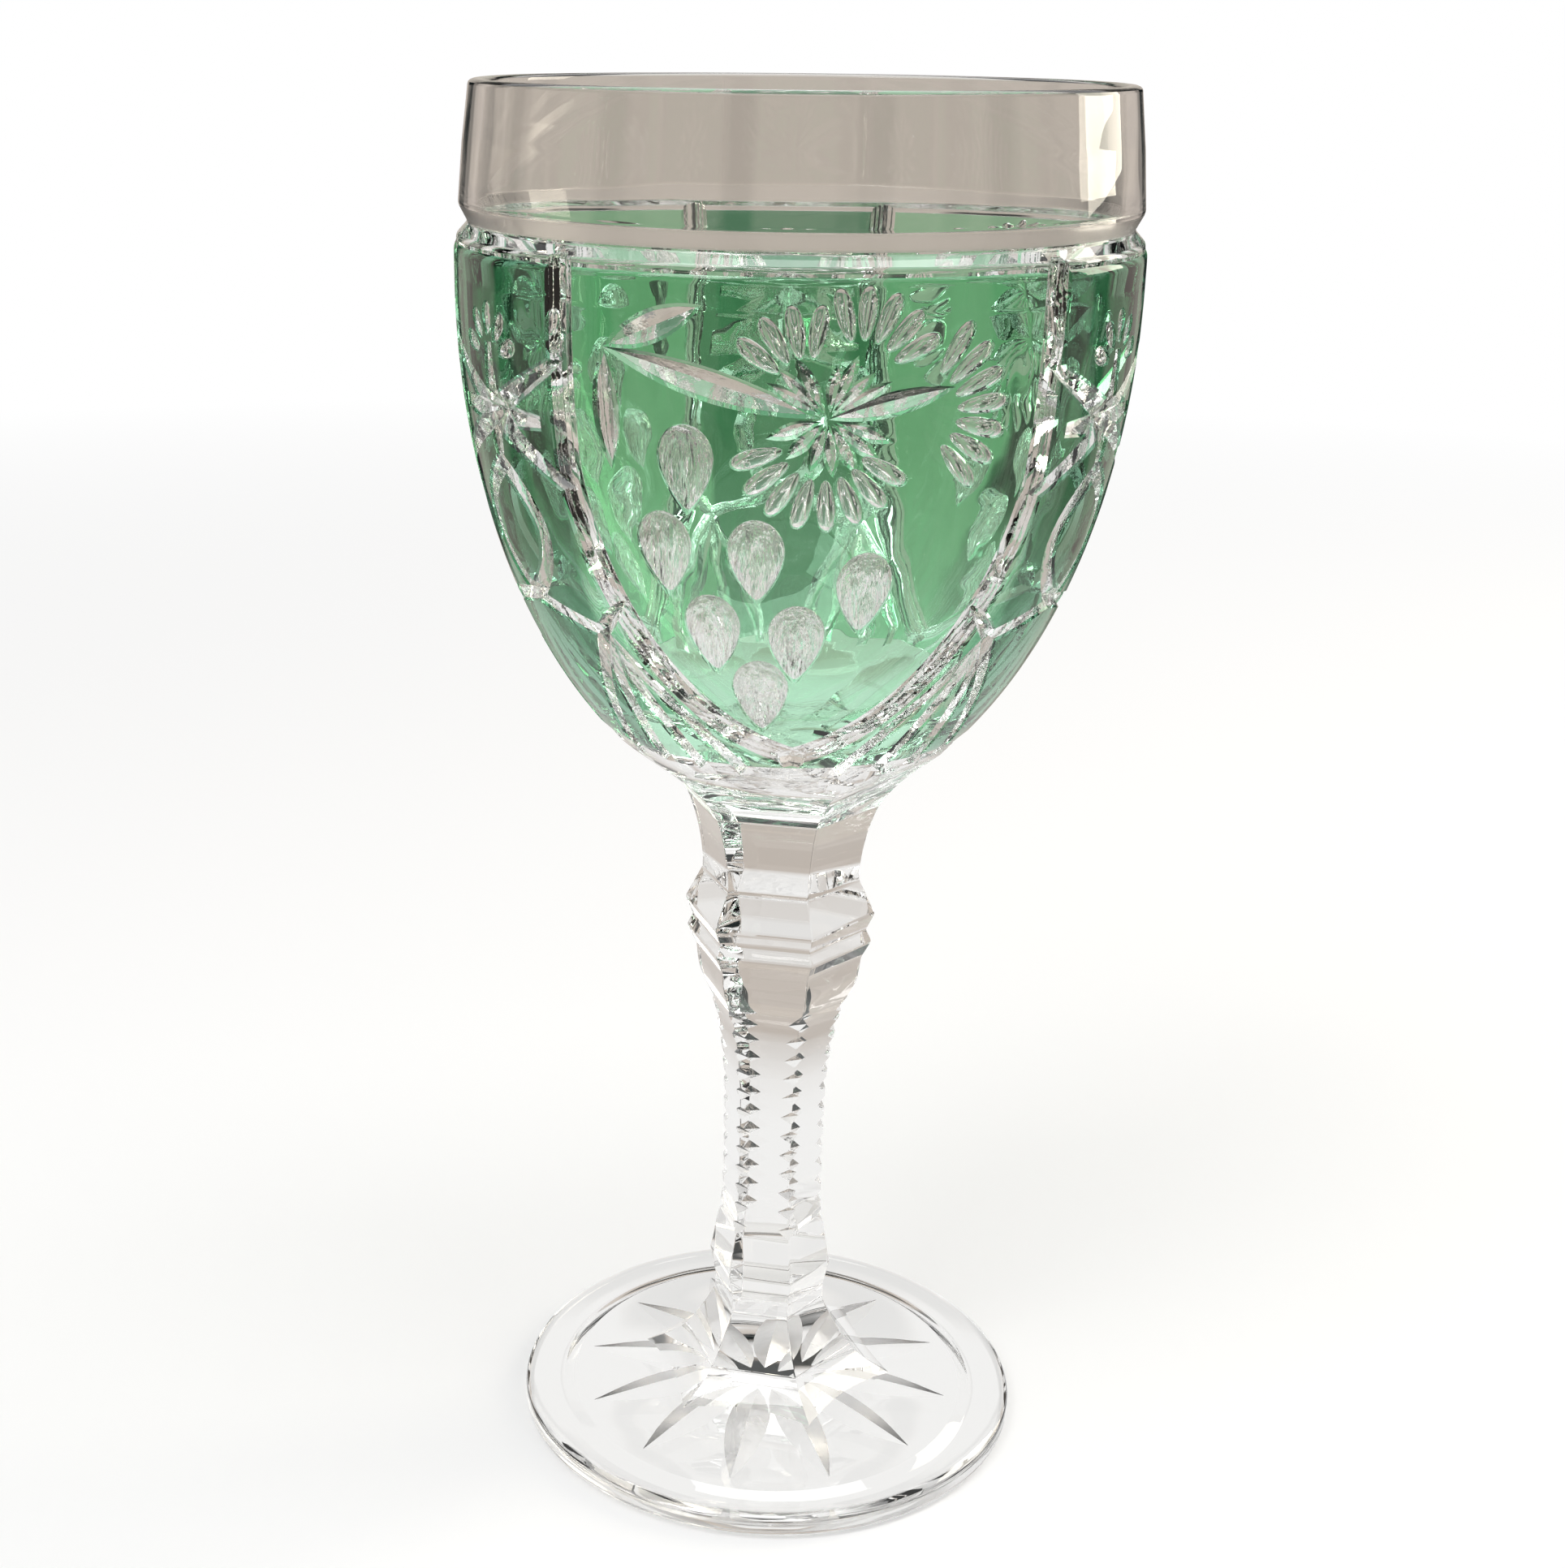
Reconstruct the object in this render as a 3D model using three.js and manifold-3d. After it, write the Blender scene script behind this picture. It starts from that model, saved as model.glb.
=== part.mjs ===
import * as THREE from 'three';
import { mergeVertices } from 'three/addons/utils/BufferGeometryUtils.js';
import Module from 'manifold-3d';

// A stemmed drinking glass in clear lead crystal with a cut green casing.
// Millimetres, Z up, the foot rests on Z = 0 and the front panel faces -Y.
// An angle on the bowl is measured in degrees from the front, towards the right.

// Main heights of the three joined gathers of glass
const footHeight = 9;
const stemHeight = 81.5;
const bowlHeight = 89.5;

// Foot
const footRadius = 34.6;
const footEdgeThickness = 3.4;
const footRise = 3.2;
const footEdgeRounding = 0.7;
const restingRingInner = 29.5;
const restingRingOuter = 33.4;
const hollowHeight = 0.8;
const hollowSlope = 2;
const flareFootRadius = 22;
const flareCoreSetback = 2;

// Stem, as circumradius of its six-sided section
const calyxNeckRadius = 12.8;
const upperNeckRadius = 10.6;
const upperKnopRadius = 12.9;
const upperKnopHeight = 66.4;
const knopGrooveDepth = 1.1;
const knopGrooveFall = 2.4;
const lowerCrestFall = 4;
const lowerCrestSetback = 0.3;
const upperNeckRise = 4.6;
const shaftRadius = 7;
const shaftMiddleHeight = 31;
const shaftSwell = [
  { rise: 0, gain: 0 },
  { rise: 11, gain: 0.25 },
  { rise: 18, gain: 1.2 },
  { rise: 22, gain: 2.3 },
  { rise: 25.5, gain: 3.8 },
  { rise: 28.9, gain: 4.3 },
];
const lowerKnopRadius = 8.6;
const lowerKnopHeight = 13;
const lowerKnopHalfHeight = 4.6;
const lowerNeckRadius = 7.8;
const lowerNeckHeight = 7;
const stemBaseRadius = 11.9;
const stemBaseTaper = 2.6;
const stemTurn = -12;

// Notches along the six edges of the shaft
const notchCount = 12;
const notchPitch = 2.9;
const notchDepth = 0.75;
const notchHalfHeight = 0.95;
const firstNotchHeight = 20.5;

// Bowl body, heights measured from the bowl's own base
const bellyRadius = 41.4;
const bellyHeight = 66.5;
const bodyDepth = 66.9;
const bowlWall = 3.4;
const bowlFloor = 8.9;
const bandSetback = 0.6;
const bandFootHeight = 75.5;
const bandBulge = 0.1;
const rimTaper = 1.4;
const rimWall = 2;
const rimRounding = 0.6;
const ledgeGrooveDepth = 1.1;
const calyxControlRadius = 17.5;
const calyxControlHeight = 8.5;
const calyxReachRadius = 36;
const calyxReachHeight = 14;
const calyxAllowance = 1.1;
const calyxSteps = 6;

// Green casing over the body
const casingThickness = 0.8;
const casingGap = 0.05;
const casingFoot = 12;
const shoulderHeight = 71.3;
const shoulderChamfer = 1.2;
const shoulderSetback = 0.48;
const shoulderLip = 0.6;
const jointGap = 0.05;
const blankDepth = 30;
const casingFootThickness = 0.12;

// The cutter marks the pattern out on lines, each a share of the cased height above its foot

// Shield panels, three of them, and the clear border groove that frames each one
const panelCount = 3;
const borderAngle = 40.7;
const borderStraightLine = 0.632;
const shieldTipLine = 0.03;
const shieldCurveAngle = 36;
const shieldCurveLine = 0.127;
const borderHalfWidth = 1.9;
const borderReach = 0.7;
const borderRunOut = 3;
const tipCrossingAngle = 4;
const tipCrossingDrop = 0.6;

// Vine leaf: four lobes of petal cuts round a hub, with veins and three blades, in shares of its reach
const leafHub = { angle: 3, line: 0.75 };
const leafReach = 10;
const petalHalfWidth = 0.75;
const petalReach = 0.35;
const petalWidest = 0.6;
const leafLobes = [
  { x: -0.24, y: 0.27, from: 144, to: 81, count: 4, inner: 0.38, outer: 0.92 },
  { x: 0.32, y: 0.42, from: 105, to: 27, count: 5, inner: 0.44, outer: 0.96 },
  { x: 0.95, y: 0.05, from: 57, to: -48, count: 7, inner: 0.54, outer: 1.14 },
  { x: -0.03, y: -0.2, from: 198, to: 331, count: 8, inner: 0.53, outer: 1.06 },
];
const leafVeins = [
  { x: -0.55, y: 0.5 },
  { x: 0.43, y: 0.46 },
  { x: 1.4, y: 0.32 },
  { x: 0.44, y: -0.44 },
];
const bladeKnot = { x: -2.54, y: 0.66 };
const bladeTips = [
  { x: -0.08, y: 0.01 },
  { x: -1.37, y: 1.16 },
  { x: -2.42, y: -0.68 },
];
const bladeHalfWidth = 0.95;

// Bunch of grapes, each a ground lens with a pointed lower end
const grapeHalfWidth = 3.45;
const grapeTop = 3.8;
const grapeTip = 6.8;
const grapeReach = 0.55;
const grapeLensShare = 0.62;
const grapePlaces = [
  { angle: -18.8, line: 0.67 },
  { angle: -23.3, line: 0.503 },
  { angle: -7.7, line: 0.497 },
  { angle: 10.8, line: 0.435 },
  { angle: -15.9, line: 0.342 },
  { angle: -0.5, line: 0.327 },
  { angle: -7.4, line: 0.206 },
];

// Columns between the panels: star, oval, hubs and fans, mirrored about the column's middle
const starLine = 0.7;
const starReachUp = 8;
const starReachSide = 14;
const starDiagonalShare = 0.126;
const starHalfWidth = 1.25;
const starReach = 1.2;
const starEndHalfWidth = 0.6;
const starEndReach = 0.4;
const crownFanLine = 0.801;
const crownFanCount = 5;
const crownFanInner = 2.6;
const crownFanOuter = 6.6;
const ovalLine = 0.464;
const ovalHalfShare = 0.135;
const ovalBulgeAngle = 9.5;
const ovalCutHalfWidth = 1.1;
const ovalCutReach = 0.7;
const ovalCrossing = 1;
const hubAngle = 19;
const hubLine = 0.287;
const borderArmLine = 0.354;
const fanFootLine = 0.008;
const fanFootAngles = [8, 20, 32, 44];
const sliverReach = 0.93;
const fanCutHalfWidth = 1.1;
const fanCutReach = 0.6;

// Star cut under the foot
const footStarRays = 12;
const footStarInner = 4;
const footStarOuter = 25.5;
const footStarHalfWidth = 1.5;
const footStarDepth = 1.6;
const footStarWidest = 0.45;

// Smoothness of the round surfaces
const roundSegments = 36;
const bodyRings = 6;
const borderSteps = 7;
const ovalSteps = 4;
const edgeSteps = 3;
const insideRings = 7;
const shaftSteps = 9;
const flareSteps = 5;
const outlineInset = 0.4;

// Values worked out from the sizes above
const innerRadius = bellyRadius - casingThickness - bowlWall;
const innerDepth = bodyDepth - bowlFloor;
const bandFootRadius = bellyRadius - bandSetback;
const rimRadius = bandFootRadius - rimTaper;
const casedHeight = shoulderHeight - casingFoot;
const borderStraightFoot = heightOf(borderStraightLine);
const shieldTipHeight = heightOf(shieldTipLine);
const shieldCurveHeight = heightOf(shieldCurveLine);
const starHeight = heightOf(starLine);
const starDiagonalRise = starDiagonalShare * casedHeight;
const ovalHeight = heightOf(ovalLine);
const ovalHalfHeight = ovalHalfShare * casedHeight;
const hubHeight = heightOf(hubLine);
const borderArmHeight = heightOf(borderArmLine);
const fanFootHeight = heightOf(fanFootLine);
const cutterLift = bellyRadius / 55;

// Each cut goes through the casing and reaches a little way into the crystal
const borderDepth = casingThickness + borderReach;
const petalDepth = casingThickness + petalReach;
const grapeDepth = casingThickness + grapeReach;
const starDepth = casingThickness + starReach;
const starEndDepth = casingThickness + starEndReach;
const ovalCutDepth = casingThickness + ovalCutReach;
const fanCutDepth = casingThickness + fanCutReach;

const degree = Math.PI / 180;
const stemSides = 6;
const wasm = await Module();
wasm.setup();

function heightOf(line) {
  return casingFoot + line * (shoulderHeight - casingFoot);
}

// Booleans

function signedVolume(position, index) {
  const [a, b, c] = [new THREE.Vector3(), new THREE.Vector3(), new THREE.Vector3()];
  let volume = 0;
  for (let i = 0; i < index.length; i += 3) {
    a.fromBufferAttribute(position, index[i]);
    b.fromBufferAttribute(position, index[i + 1]);
    c.fromBufferAttribute(position, index[i + 2]);
    volume += a.dot(b.cross(c)) / 6;
  }
  return volume;
}

function toSolid(geometry) {
  geometry.deleteAttribute('normal');
  geometry.deleteAttribute('uv');
  const merged = mergeVertices(geometry, 1e-4);
  const index = Array.from(merged.index.array);
  const faces = [];
  for (let i = 0; i < index.length; i += 3) {
    const [a, b, c] = index.slice(i, i + 3);
    if (a !== b && b !== c && c !== a) faces.push(a, b, c);
  }
  if (signedVolume(merged.attributes.position, faces) < 0) faces.reverse();
  return new wasm.Manifold(new wasm.Mesh({
    numProp: 3,
    vertProperties: new Float32Array(merged.attributes.position.array),
    triVerts: new Uint32Array(faces),
  }));
}

function toGeometry(solid) {
  const mesh = solid.getMesh();
  const geometry = new THREE.BufferGeometry();
  geometry.setAttribute('position', new THREE.BufferAttribute(mesh.vertProperties, 3));
  geometry.setIndex(new THREE.BufferAttribute(mesh.triVerts, 1));
  return geometry;
}

function joinAll(solids) {
  return solids.reduce((whole, solid) => whole.add(solid));
}

function meshFrom(points, faces) {
  const geometry = new THREE.BufferGeometry();
  geometry.setFromPoints(points);
  geometry.setIndex(faces);
  return geometry;
}

// Revolved and six-sided bodies

function revolve(profile, segments = roundSegments, turn = 0) {
  const points = profile.map(([radius, height]) => new THREE.Vector2(radius, height));
  const geometry = new THREE.LatheGeometry(points, segments, turn * degree);
  geometry.rotateX(Math.PI / 2);
  return toSolid(geometry);
}

function sixSided(profile) {
  return revolve(profile, stemSides, stemTurn + 180 / stemSides);
}

// Points on the cased body of the bowl

function bodyRadius(height) {
  const fall = Math.max(0, bellyHeight - height) / bodyDepth;
  return bellyRadius * Math.sqrt(Math.max(0, 1 - fall * fall));
}

function onBody(angle, height) {
  const turn = angle * degree;
  const step = 0.01;
  const slope = (bodyRadius(height + step) - bodyRadius(height - step)) / (2 * step);
  const radius = bodyRadius(height);
  return {
    angle,
    height,
    point: new THREE.Vector3(radius * Math.sin(turn), -radius * Math.cos(turn), height),
    outward: new THREE.Vector3(Math.sin(turn), -Math.cos(turn), -slope).normalize(),
  };
}

function beside(place, x, y) {
  const height = place.height + y;
  return onBody(place.angle + x / (bodyRadius(height) * degree), height);
}

// Cutters that stand for the wheel's path

function grooveCutter(stations) {
  const points = [];
  const faces = [];
  const rings = stations.map((station, i) => {
    const before = stations[Math.max(i - 1, 0)].point;
    const after = stations[Math.min(i + 1, stations.length - 1)].point;
    const along = after.clone().sub(before).normalize();
    const across = along.cross(station.outward).normalize();
    const top = station.point.clone().addScaledVector(station.outward, cutterLift);
    if (station.half === 0) return [points.push(top) - 1];
    const spread = station.half * (1 + cutterLift / station.depth);
    const left = points.push(top.clone().addScaledVector(across, -spread)) - 1;
    const keel = points.push(station.point.clone().addScaledVector(station.outward, -station.depth)) - 1;
    const right = points.push(top.clone().addScaledVector(across, spread)) - 1;
    return [left, keel, right];
  });
  for (let i = 0; i + 1 < rings.length; i += 1) {
    for (let side = 0; side < 3; side += 1) {
      const [a, b] = [rings[i][side], rings[i][(side + 1) % 3]];
      const [c, d] = [rings[i + 1][side], rings[i + 1][(side + 1) % 3]];
      if (rings[i].length === 1) faces.push(rings[i][0], d, c);
      else if (rings[i + 1].length === 1) faces.push(a, b, rings[i + 1][0]);
      else faces.push(a, b, d, a, d, c);
    }
  }
  const [first, last] = [rings[0], rings[rings.length - 1]];
  if (first.length === 3) faces.push(first[0], first[2], first[1]);
  if (last.length === 3) faces.push(last[0], last[1], last[2]);
  return toSolid(meshFrom(points, faces));
}

function mitre(places, half, depth, openStart = false) {
  return grooveCutter(places.map((place, i) => {
    const pointed = i === places.length - 1 || (i === 0 && !openStart);
    return { ...place, half: pointed ? 0 : half, depth };
  }));
}

function straightMitre(from, to, half, depth, widest = 0.5) {
  const middle = onBody(
    THREE.MathUtils.lerp(from.angle, to.angle, widest),
    THREE.MathUtils.lerp(from.height, to.height, widest),
  );
  return mitre([from, middle, to], half, depth);
}

function fanOfPetals(hub, lobe, reach) {
  const petals = [];
  for (let i = 0; i < lobe.count; i += 1) {
    const angle = THREE.MathUtils.lerp(lobe.from, lobe.to, i / (lobe.count - 1)) * degree;
    const [across, up] = [Math.cos(angle), Math.sin(angle)];
    const [inner, outer] = [lobe.inner, lobe.outer].map((share) => (
      beside(hub, reach * (lobe.x + share * across), reach * (lobe.y + share * up))
    ));
    petals.push(straightMitre(inner, outer, petalHalfWidth, petalDepth, petalWidest));
  }
  return petals;
}

function grapeCutter(place) {
  const outline = [
    [0, grapeTop],
    [0.74 * grapeHalfWidth, 0.72 * grapeTop],
    [grapeHalfWidth, -0.1 * grapeTop],
    [0.62 * grapeHalfWidth, -0.58 * grapeTip],
    [0, -grapeTip],
    [-0.62 * grapeHalfWidth, -0.58 * grapeTip],
    [-grapeHalfWidth, -0.1 * grapeTop],
    [-0.74 * grapeHalfWidth, 0.72 * grapeTop],
  ];
  const middle = onBody(place.angle, heightOf(place.line));
  const ringAt = (scale, rise) => outline.map(([x, y]) => {
    const near = beside(middle, x * scale, y * scale);
    return near.point.addScaledVector(near.outward, rise);
  });
  const floor = middle.point.clone().addScaledVector(middle.outward, -grapeDepth);
  const lid = middle.point.clone().addScaledVector(middle.outward, cutterLift);
  const lens = ringAt(grapeLensShare, -0.75 * grapeDepth);
  const points = [floor, ...lens, ...ringAt(1.15, cutterLift), lid];
  const count = outline.length;
  const faces = [];
  for (let i = 0; i < count; i += 1) {
    const next = (i + 1) % count;
    faces.push(0, 1 + i, 1 + next);
    faces.push(1 + i, 1 + count + i, 1 + count + next);
    faces.push(1 + i, 1 + count + next, 1 + next);
    faces.push(1 + 2 * count, 1 + count + next, 1 + count + i);
  }
  return toSolid(meshFrom(points, faces));
}

// The cuts of one panel and of one column

function shieldCurve(steps) {
  const curve = new THREE.QuadraticBezierCurve(
    new THREE.Vector2(borderAngle, borderStraightFoot),
    new THREE.Vector2(shieldCurveAngle, shieldCurveHeight),
    new THREE.Vector2(0, shieldTipHeight),
  );
  return curve.getPoints(steps);
}

function borderAngleAt(height) {
  if (height >= borderStraightFoot) return borderAngle;
  const bend = borderStraightFoot - 2 * shieldCurveHeight + shieldTipHeight;
  const fall = borderStraightFoot - shieldCurveHeight;
  const along = (fall - Math.sqrt(fall * fall - bend * (borderStraightFoot - height))) / bend;
  return (1 - along) ** 2 * borderAngle + 2 * along * (1 - along) * shieldCurveAngle;
}

function panelBorder(side) {
  const top = onBody(side * borderAngle, shoulderHeight + borderRunOut);
  const middle = onBody(side * borderAngle, (shoulderHeight + borderStraightFoot) / 2);
  const curve = shieldCurve(borderSteps).map((spot) => onBody(side * spot.x, spot.y));
  const overrun = onBody(-side * tipCrossingAngle, shieldTipHeight - tipCrossingDrop);
  return mitre([top, middle, ...curve, overrun], borderHalfWidth, borderDepth, true);
}

function leafCuts() {
  const hub = onBody(leafHub.angle, heightOf(leafHub.line));
  const spot = ({ x, y }) => beside(hub, leafReach * x, leafReach * y);
  const petals = leafLobes.flatMap((lobe) => fanOfPetals(hub, lobe, leafReach));
  const veins = leafVeins.map((end) => straightMitre(hub, spot(end), petalHalfWidth, petalDepth));
  const blades = bladeTips.map((end) => (
    straightMitre(spot(bladeKnot), spot(end), bladeHalfWidth, petalDepth)
  ));
  return [...petals, ...veins, ...blades];
}

// A column's own angles run from its middle line to either side

const columnMiddle = 180 / panelCount;

function inColumn(angle, height) {
  return onBody(columnMiddle + angle, height);
}

function columnEdge(height) {
  return columnMiddle - borderAngleAt(height);
}

function starArm(from, to) {
  const end = { half: starEndHalfWidth, depth: starEndDepth };
  const middle = { ...inColumn(0, starHeight), half: starHalfWidth, depth: starDepth };
  return grooveCutter([{ ...from, ...end }, middle, { ...to, ...end }]);
}

function columnStar() {
  const low = starHeight - starDiagonalRise;
  const high = starHeight + starDiagonalRise;
  const ovalTip = inColumn(0, ovalHeight + ovalHalfHeight - ovalCrossing);
  const [left, right] = [inColumn(-starReachSide, starHeight), inColumn(starReachSide, starHeight)];
  const crownTip = { ...inColumn(0, starHeight + starReachUp), half: 0, depth: starDepth };
  const middle = { ...inColumn(0, starHeight), half: starHalfWidth, depth: starDepth };
  const foot = { ...ovalTip, half: starEndHalfWidth, depth: starEndDepth };
  return [
    starArm(inColumn(-columnEdge(low), low), inColumn(columnEdge(high), high)),
    starArm(inColumn(columnEdge(low), low), inColumn(-columnEdge(high), high)),
    straightMitre(left, right, starHalfWidth, starDepth),
    grooveCutter([foot, middle, crownTip]),
  ];
}

function ovalArc(side) {
  const places = [];
  for (let i = 0; i <= ovalSteps; i += 1) {
    const along = 1 - (2 * i) / ovalSteps;
    const bulge = ovalBulgeAngle * (1 - along * along);
    places.push([side * bulge, ovalHeight + along * ovalHalfHeight]);
  }
  return places;
}

function ovalCut(side) {
  const stations = ovalArc(side).map(([angle, height]) => (
    { ...inColumn(angle, height), half: ovalCutHalfWidth, depth: ovalCutDepth }
  ));
  return grooveCutter(stations);
}

function openMitre(from, to, half, depth) {
  const middle = onBody((from.angle + to.angle) / 2, (from.height + to.height) / 2);
  return grooveCutter([from, middle, to].map((place) => ({ ...place, half, depth })));
}

function fanCuts(side) {
  const hub = inColumn(side * hubAngle, hubHeight);
  const ovalFoot = inColumn(0, ovalHeight - ovalHalfHeight);
  const border = inColumn(side * columnEdge(borderArmHeight), borderArmHeight);
  const arms = fanFootAngles.map((angle) => inColumn(side * angle, fanFootHeight));
  return [...arms, ovalFoot, border].map((end) => openMitre(hub, end, fanCutHalfWidth, fanCutDepth));
}

function crownFanCuts() {
  const lobe = {
    x: 0,
    y: 0,
    from: 20,
    to: 160,
    count: crownFanCount,
    inner: crownFanInner / crownFanOuter,
    outer: 1,
  };
  return fanOfPetals(inColumn(0, heightOf(crownFanLine)), lobe, crownFanOuter);
}

function aroundBowl(cutters) {
  const sector = joinAll(cutters);
  const copies = [];
  for (let i = 0; i < panelCount; i += 1) {
    copies.push(sector.rotate([0, 0, (360 / panelCount) * i]));
  }
  return joinAll(copies);
}

// Deep cuts reach the crystal, the shallow ones only open the casing

function deepCuts() {
  const grapes = grapePlaces.map(grapeCutter);
  return aroundBowl([...grapes, panelBorder(1), panelBorder(-1), ...columnStar()]);
}

function shallowCuts() {
  const ovalFrame = [ovalCut(1), ovalCut(-1)];
  return aroundBowl([...leafCuts(), ...crownFanCuts(), ...ovalFrame, ...fanCuts(1), ...fanCuts(-1)]);
}

// Crystal bowl

function bodyHeights() {
  const start = Math.acos((bellyHeight - casingFoot) / bodyDepth);
  const heights = [];
  for (let i = 0; i <= bodyRings; i += 1) {
    const turn = THREE.MathUtils.lerp(start, Math.PI / 2, i / bodyRings);
    heights.push(bellyHeight - bodyDepth * Math.cos(turn));
  }
  return [...heights, shoulderHeight - shoulderChamfer];
}

function coreRadius(height) {
  return bodyRadius(height) - casingThickness - casingGap;
}

function crystalProfile() {
  const underCasing = bodyHeights().map((height) => [coreRadius(height), height]);
  const shoulder = coreRadius(shoulderHeight);
  const grooveHeight = (shoulderHeight + bandFootHeight) / 2;
  const grooveRadius = bandFootRadius - ledgeGrooveDepth;
  const inside = [];
  for (let i = insideRings; i >= 0; i -= 1) {
    const turn = (i / insideRings) * (Math.PI / 2);
    inside.push([innerRadius * Math.sin(turn), bellyHeight - innerDepth * Math.cos(turn)]);
  }
  return [
    [0, 0],
    [calyxNeckRadius + calyxAllowance, 0],
    [coreRadius(casingFoot / 2) + calyxAllowance, casingFoot / 2],
    ...underCasing,
    [shoulder, shoulderHeight + shoulderLip],
    [grooveRadius, grooveHeight],
    [bandFootRadius, bandFootHeight],
    [(bandFootRadius + rimRadius) / 2 + bandBulge, (bandFootHeight + bowlHeight) / 2],
    [rimRadius, bowlHeight - rimRounding],
    [rimRadius - rimRounding, bowlHeight],
    [rimRadius - rimWall + rimRounding, bowlHeight],
    [rimRadius - rimWall, bowlHeight - rimRounding],
    ...inside,
  ];
}

function calyxCurve() {
  return new THREE.QuadraticBezierCurve(
    new THREE.Vector2(calyxNeckRadius, 0),
    new THREE.Vector2(calyxControlRadius, calyxControlHeight),
    new THREE.Vector2(calyxReachRadius, calyxReachHeight),
  );
}

function crystalBowl(cuts) {
  const flare = calyxCurve().getPoints(calyxSteps).map((spot) => [spot.x, spot.y]);
  const wide = bellyRadius * 2;
  const top = bowlHeight + 1;
  const sides = sixSided([[0, 0], ...flare, [wide, calyxReachHeight], [wide, top], [0, top]]);
  return revolve(crystalProfile()).intersect(sides).subtract(cuts);
}

// Green casing islands

function casingShell() {
  const heights = bodyHeights();
  const inner = heights.map((height) => [bodyRadius(height) - casingThickness, height]);
  const outer = heights.map((height) => [bodyRadius(height), height]);
  outer[0][0] = inner[0][0] + casingFootThickness;
  const innerTop = [bodyRadius(shoulderHeight) - casingThickness, shoulderHeight];
  const outerTop = [bodyRadius(shoulderHeight) - shoulderSetback, shoulderHeight];
  return revolve([...outer, outerTop, innerTop, ...inner.reverse(), outer[0]]);
}

function middleOf(values) {
  return (Math.min(...values) + Math.max(...values)) / 2;
}

function blankFor(outline) {
  const angles = outline.map(([angle]) => angle);
  const heights = outline.map(([, height]) => height);
  const middle = onBody(middleOf(angles), middleOf(heights));
  const across = new THREE.Vector3(0, 0, 1).cross(middle.outward).normalize();
  const up = middle.outward.clone().cross(across);
  const basis = new THREE.Matrix4().makeBasis(across, up, middle.outward).setPosition(middle.point);
  const flatten = basis.clone().invert();
  const flat = outline.map(([angle, height]) => {
    const spot = onBody(angle, height).point.applyMatrix4(flatten);
    return new THREE.Vector2(spot.x, spot.y);
  });
  const extrusion = { depth: blankDepth, bevelEnabled: false };
  const geometry = new THREE.ExtrudeGeometry(new THREE.Shape(flat), extrusion);
  geometry.translate(0, 0, -0.75 * blankDepth);
  geometry.applyMatrix4(basis);
  return toSolid(geometry);
}

function mirroredBack(half) {
  return half.map(([angle, height]) => [-angle, height]).reverse();
}

function panelOutline() {
  const right = shieldCurve(borderSteps).map((spot) => (
    [Math.max(0, spot.x - outlineInset), spot.y + outlineInset]
  ));
  const top = [borderAngle - outlineInset, shoulderHeight + 1];
  return [...mirroredBack([top, ...right.slice(0, -1)]), top, ...right].reverse();
}

function edgeBetween(high, low) {
  const points = [];
  for (let i = 0; i <= edgeSteps; i += 1) {
    const height = THREE.MathUtils.lerp(high, low, i / edgeSteps);
    points.push([columnEdge(height), height]);
  }
  return points;
}

function alongArm(hub, end, share) {
  return hub.map((start, i) => THREE.MathUtils.lerp(start, end[i], share));
}

function betweenArms(hub, from, to) {
  const side = (end) => [alongArm(hub, end, 0.5), alongArm(hub, end, sliverReach)];
  return [hub, ...side(to), ...side(from).reverse()];
}

function columnOutlines() {
  const starCentre = [0, starHeight];
  const high = starHeight + starDiagonalRise;
  const low = starHeight - starDiagonalRise;
  const crownSide = [[columnEdge(high), high], [columnEdge(high), shoulderHeight + 1]];
  const hub = [hubAngle, hubHeight];
  const ovalFoot = [0, ovalHeight - ovalHalfHeight];
  const ends = fanFootAngles.map((angle) => [angle, fanFootHeight]);
  const kiteSide = [hub, alongArm(hub, ends[0], 0.5), alongArm(hub, ends[0], sliverReach)];
  const edge = edgeBetween(low, borderArmHeight);
  const outlines = {
    crown: [starCentre, ...crownSide, ...mirroredBack(crownSide)],
    oval: [...ovalArc(1), ...mirroredBack(ovalArc(1)).slice(1, -1)],
    kite: [ovalFoot, ...kiteSide, ...mirroredBack(kiteSide)],
  };
  const halves = {
    dart: [starCentre, [columnEdge(low), low], [columnEdge(high), high]],
    wedge: [starCentre, ...edge, hub, ...ovalArc(1).reverse()],
    inner_sliver: betweenArms(hub, ends[0], ends[1]),
    middle_sliver: betweenArms(hub, ends[1], ends[2]),
    outer_sliver: betweenArms(hub, ends[2], ends[3]),
  };
  Object.entries(halves).forEach(([name, outline]) => {
    outlines[`right_${name}`] = outline;
    outlines[`left_${name}`] = mirroredBack(outline);
  });
  return outlines;
}

// Stem

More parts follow.
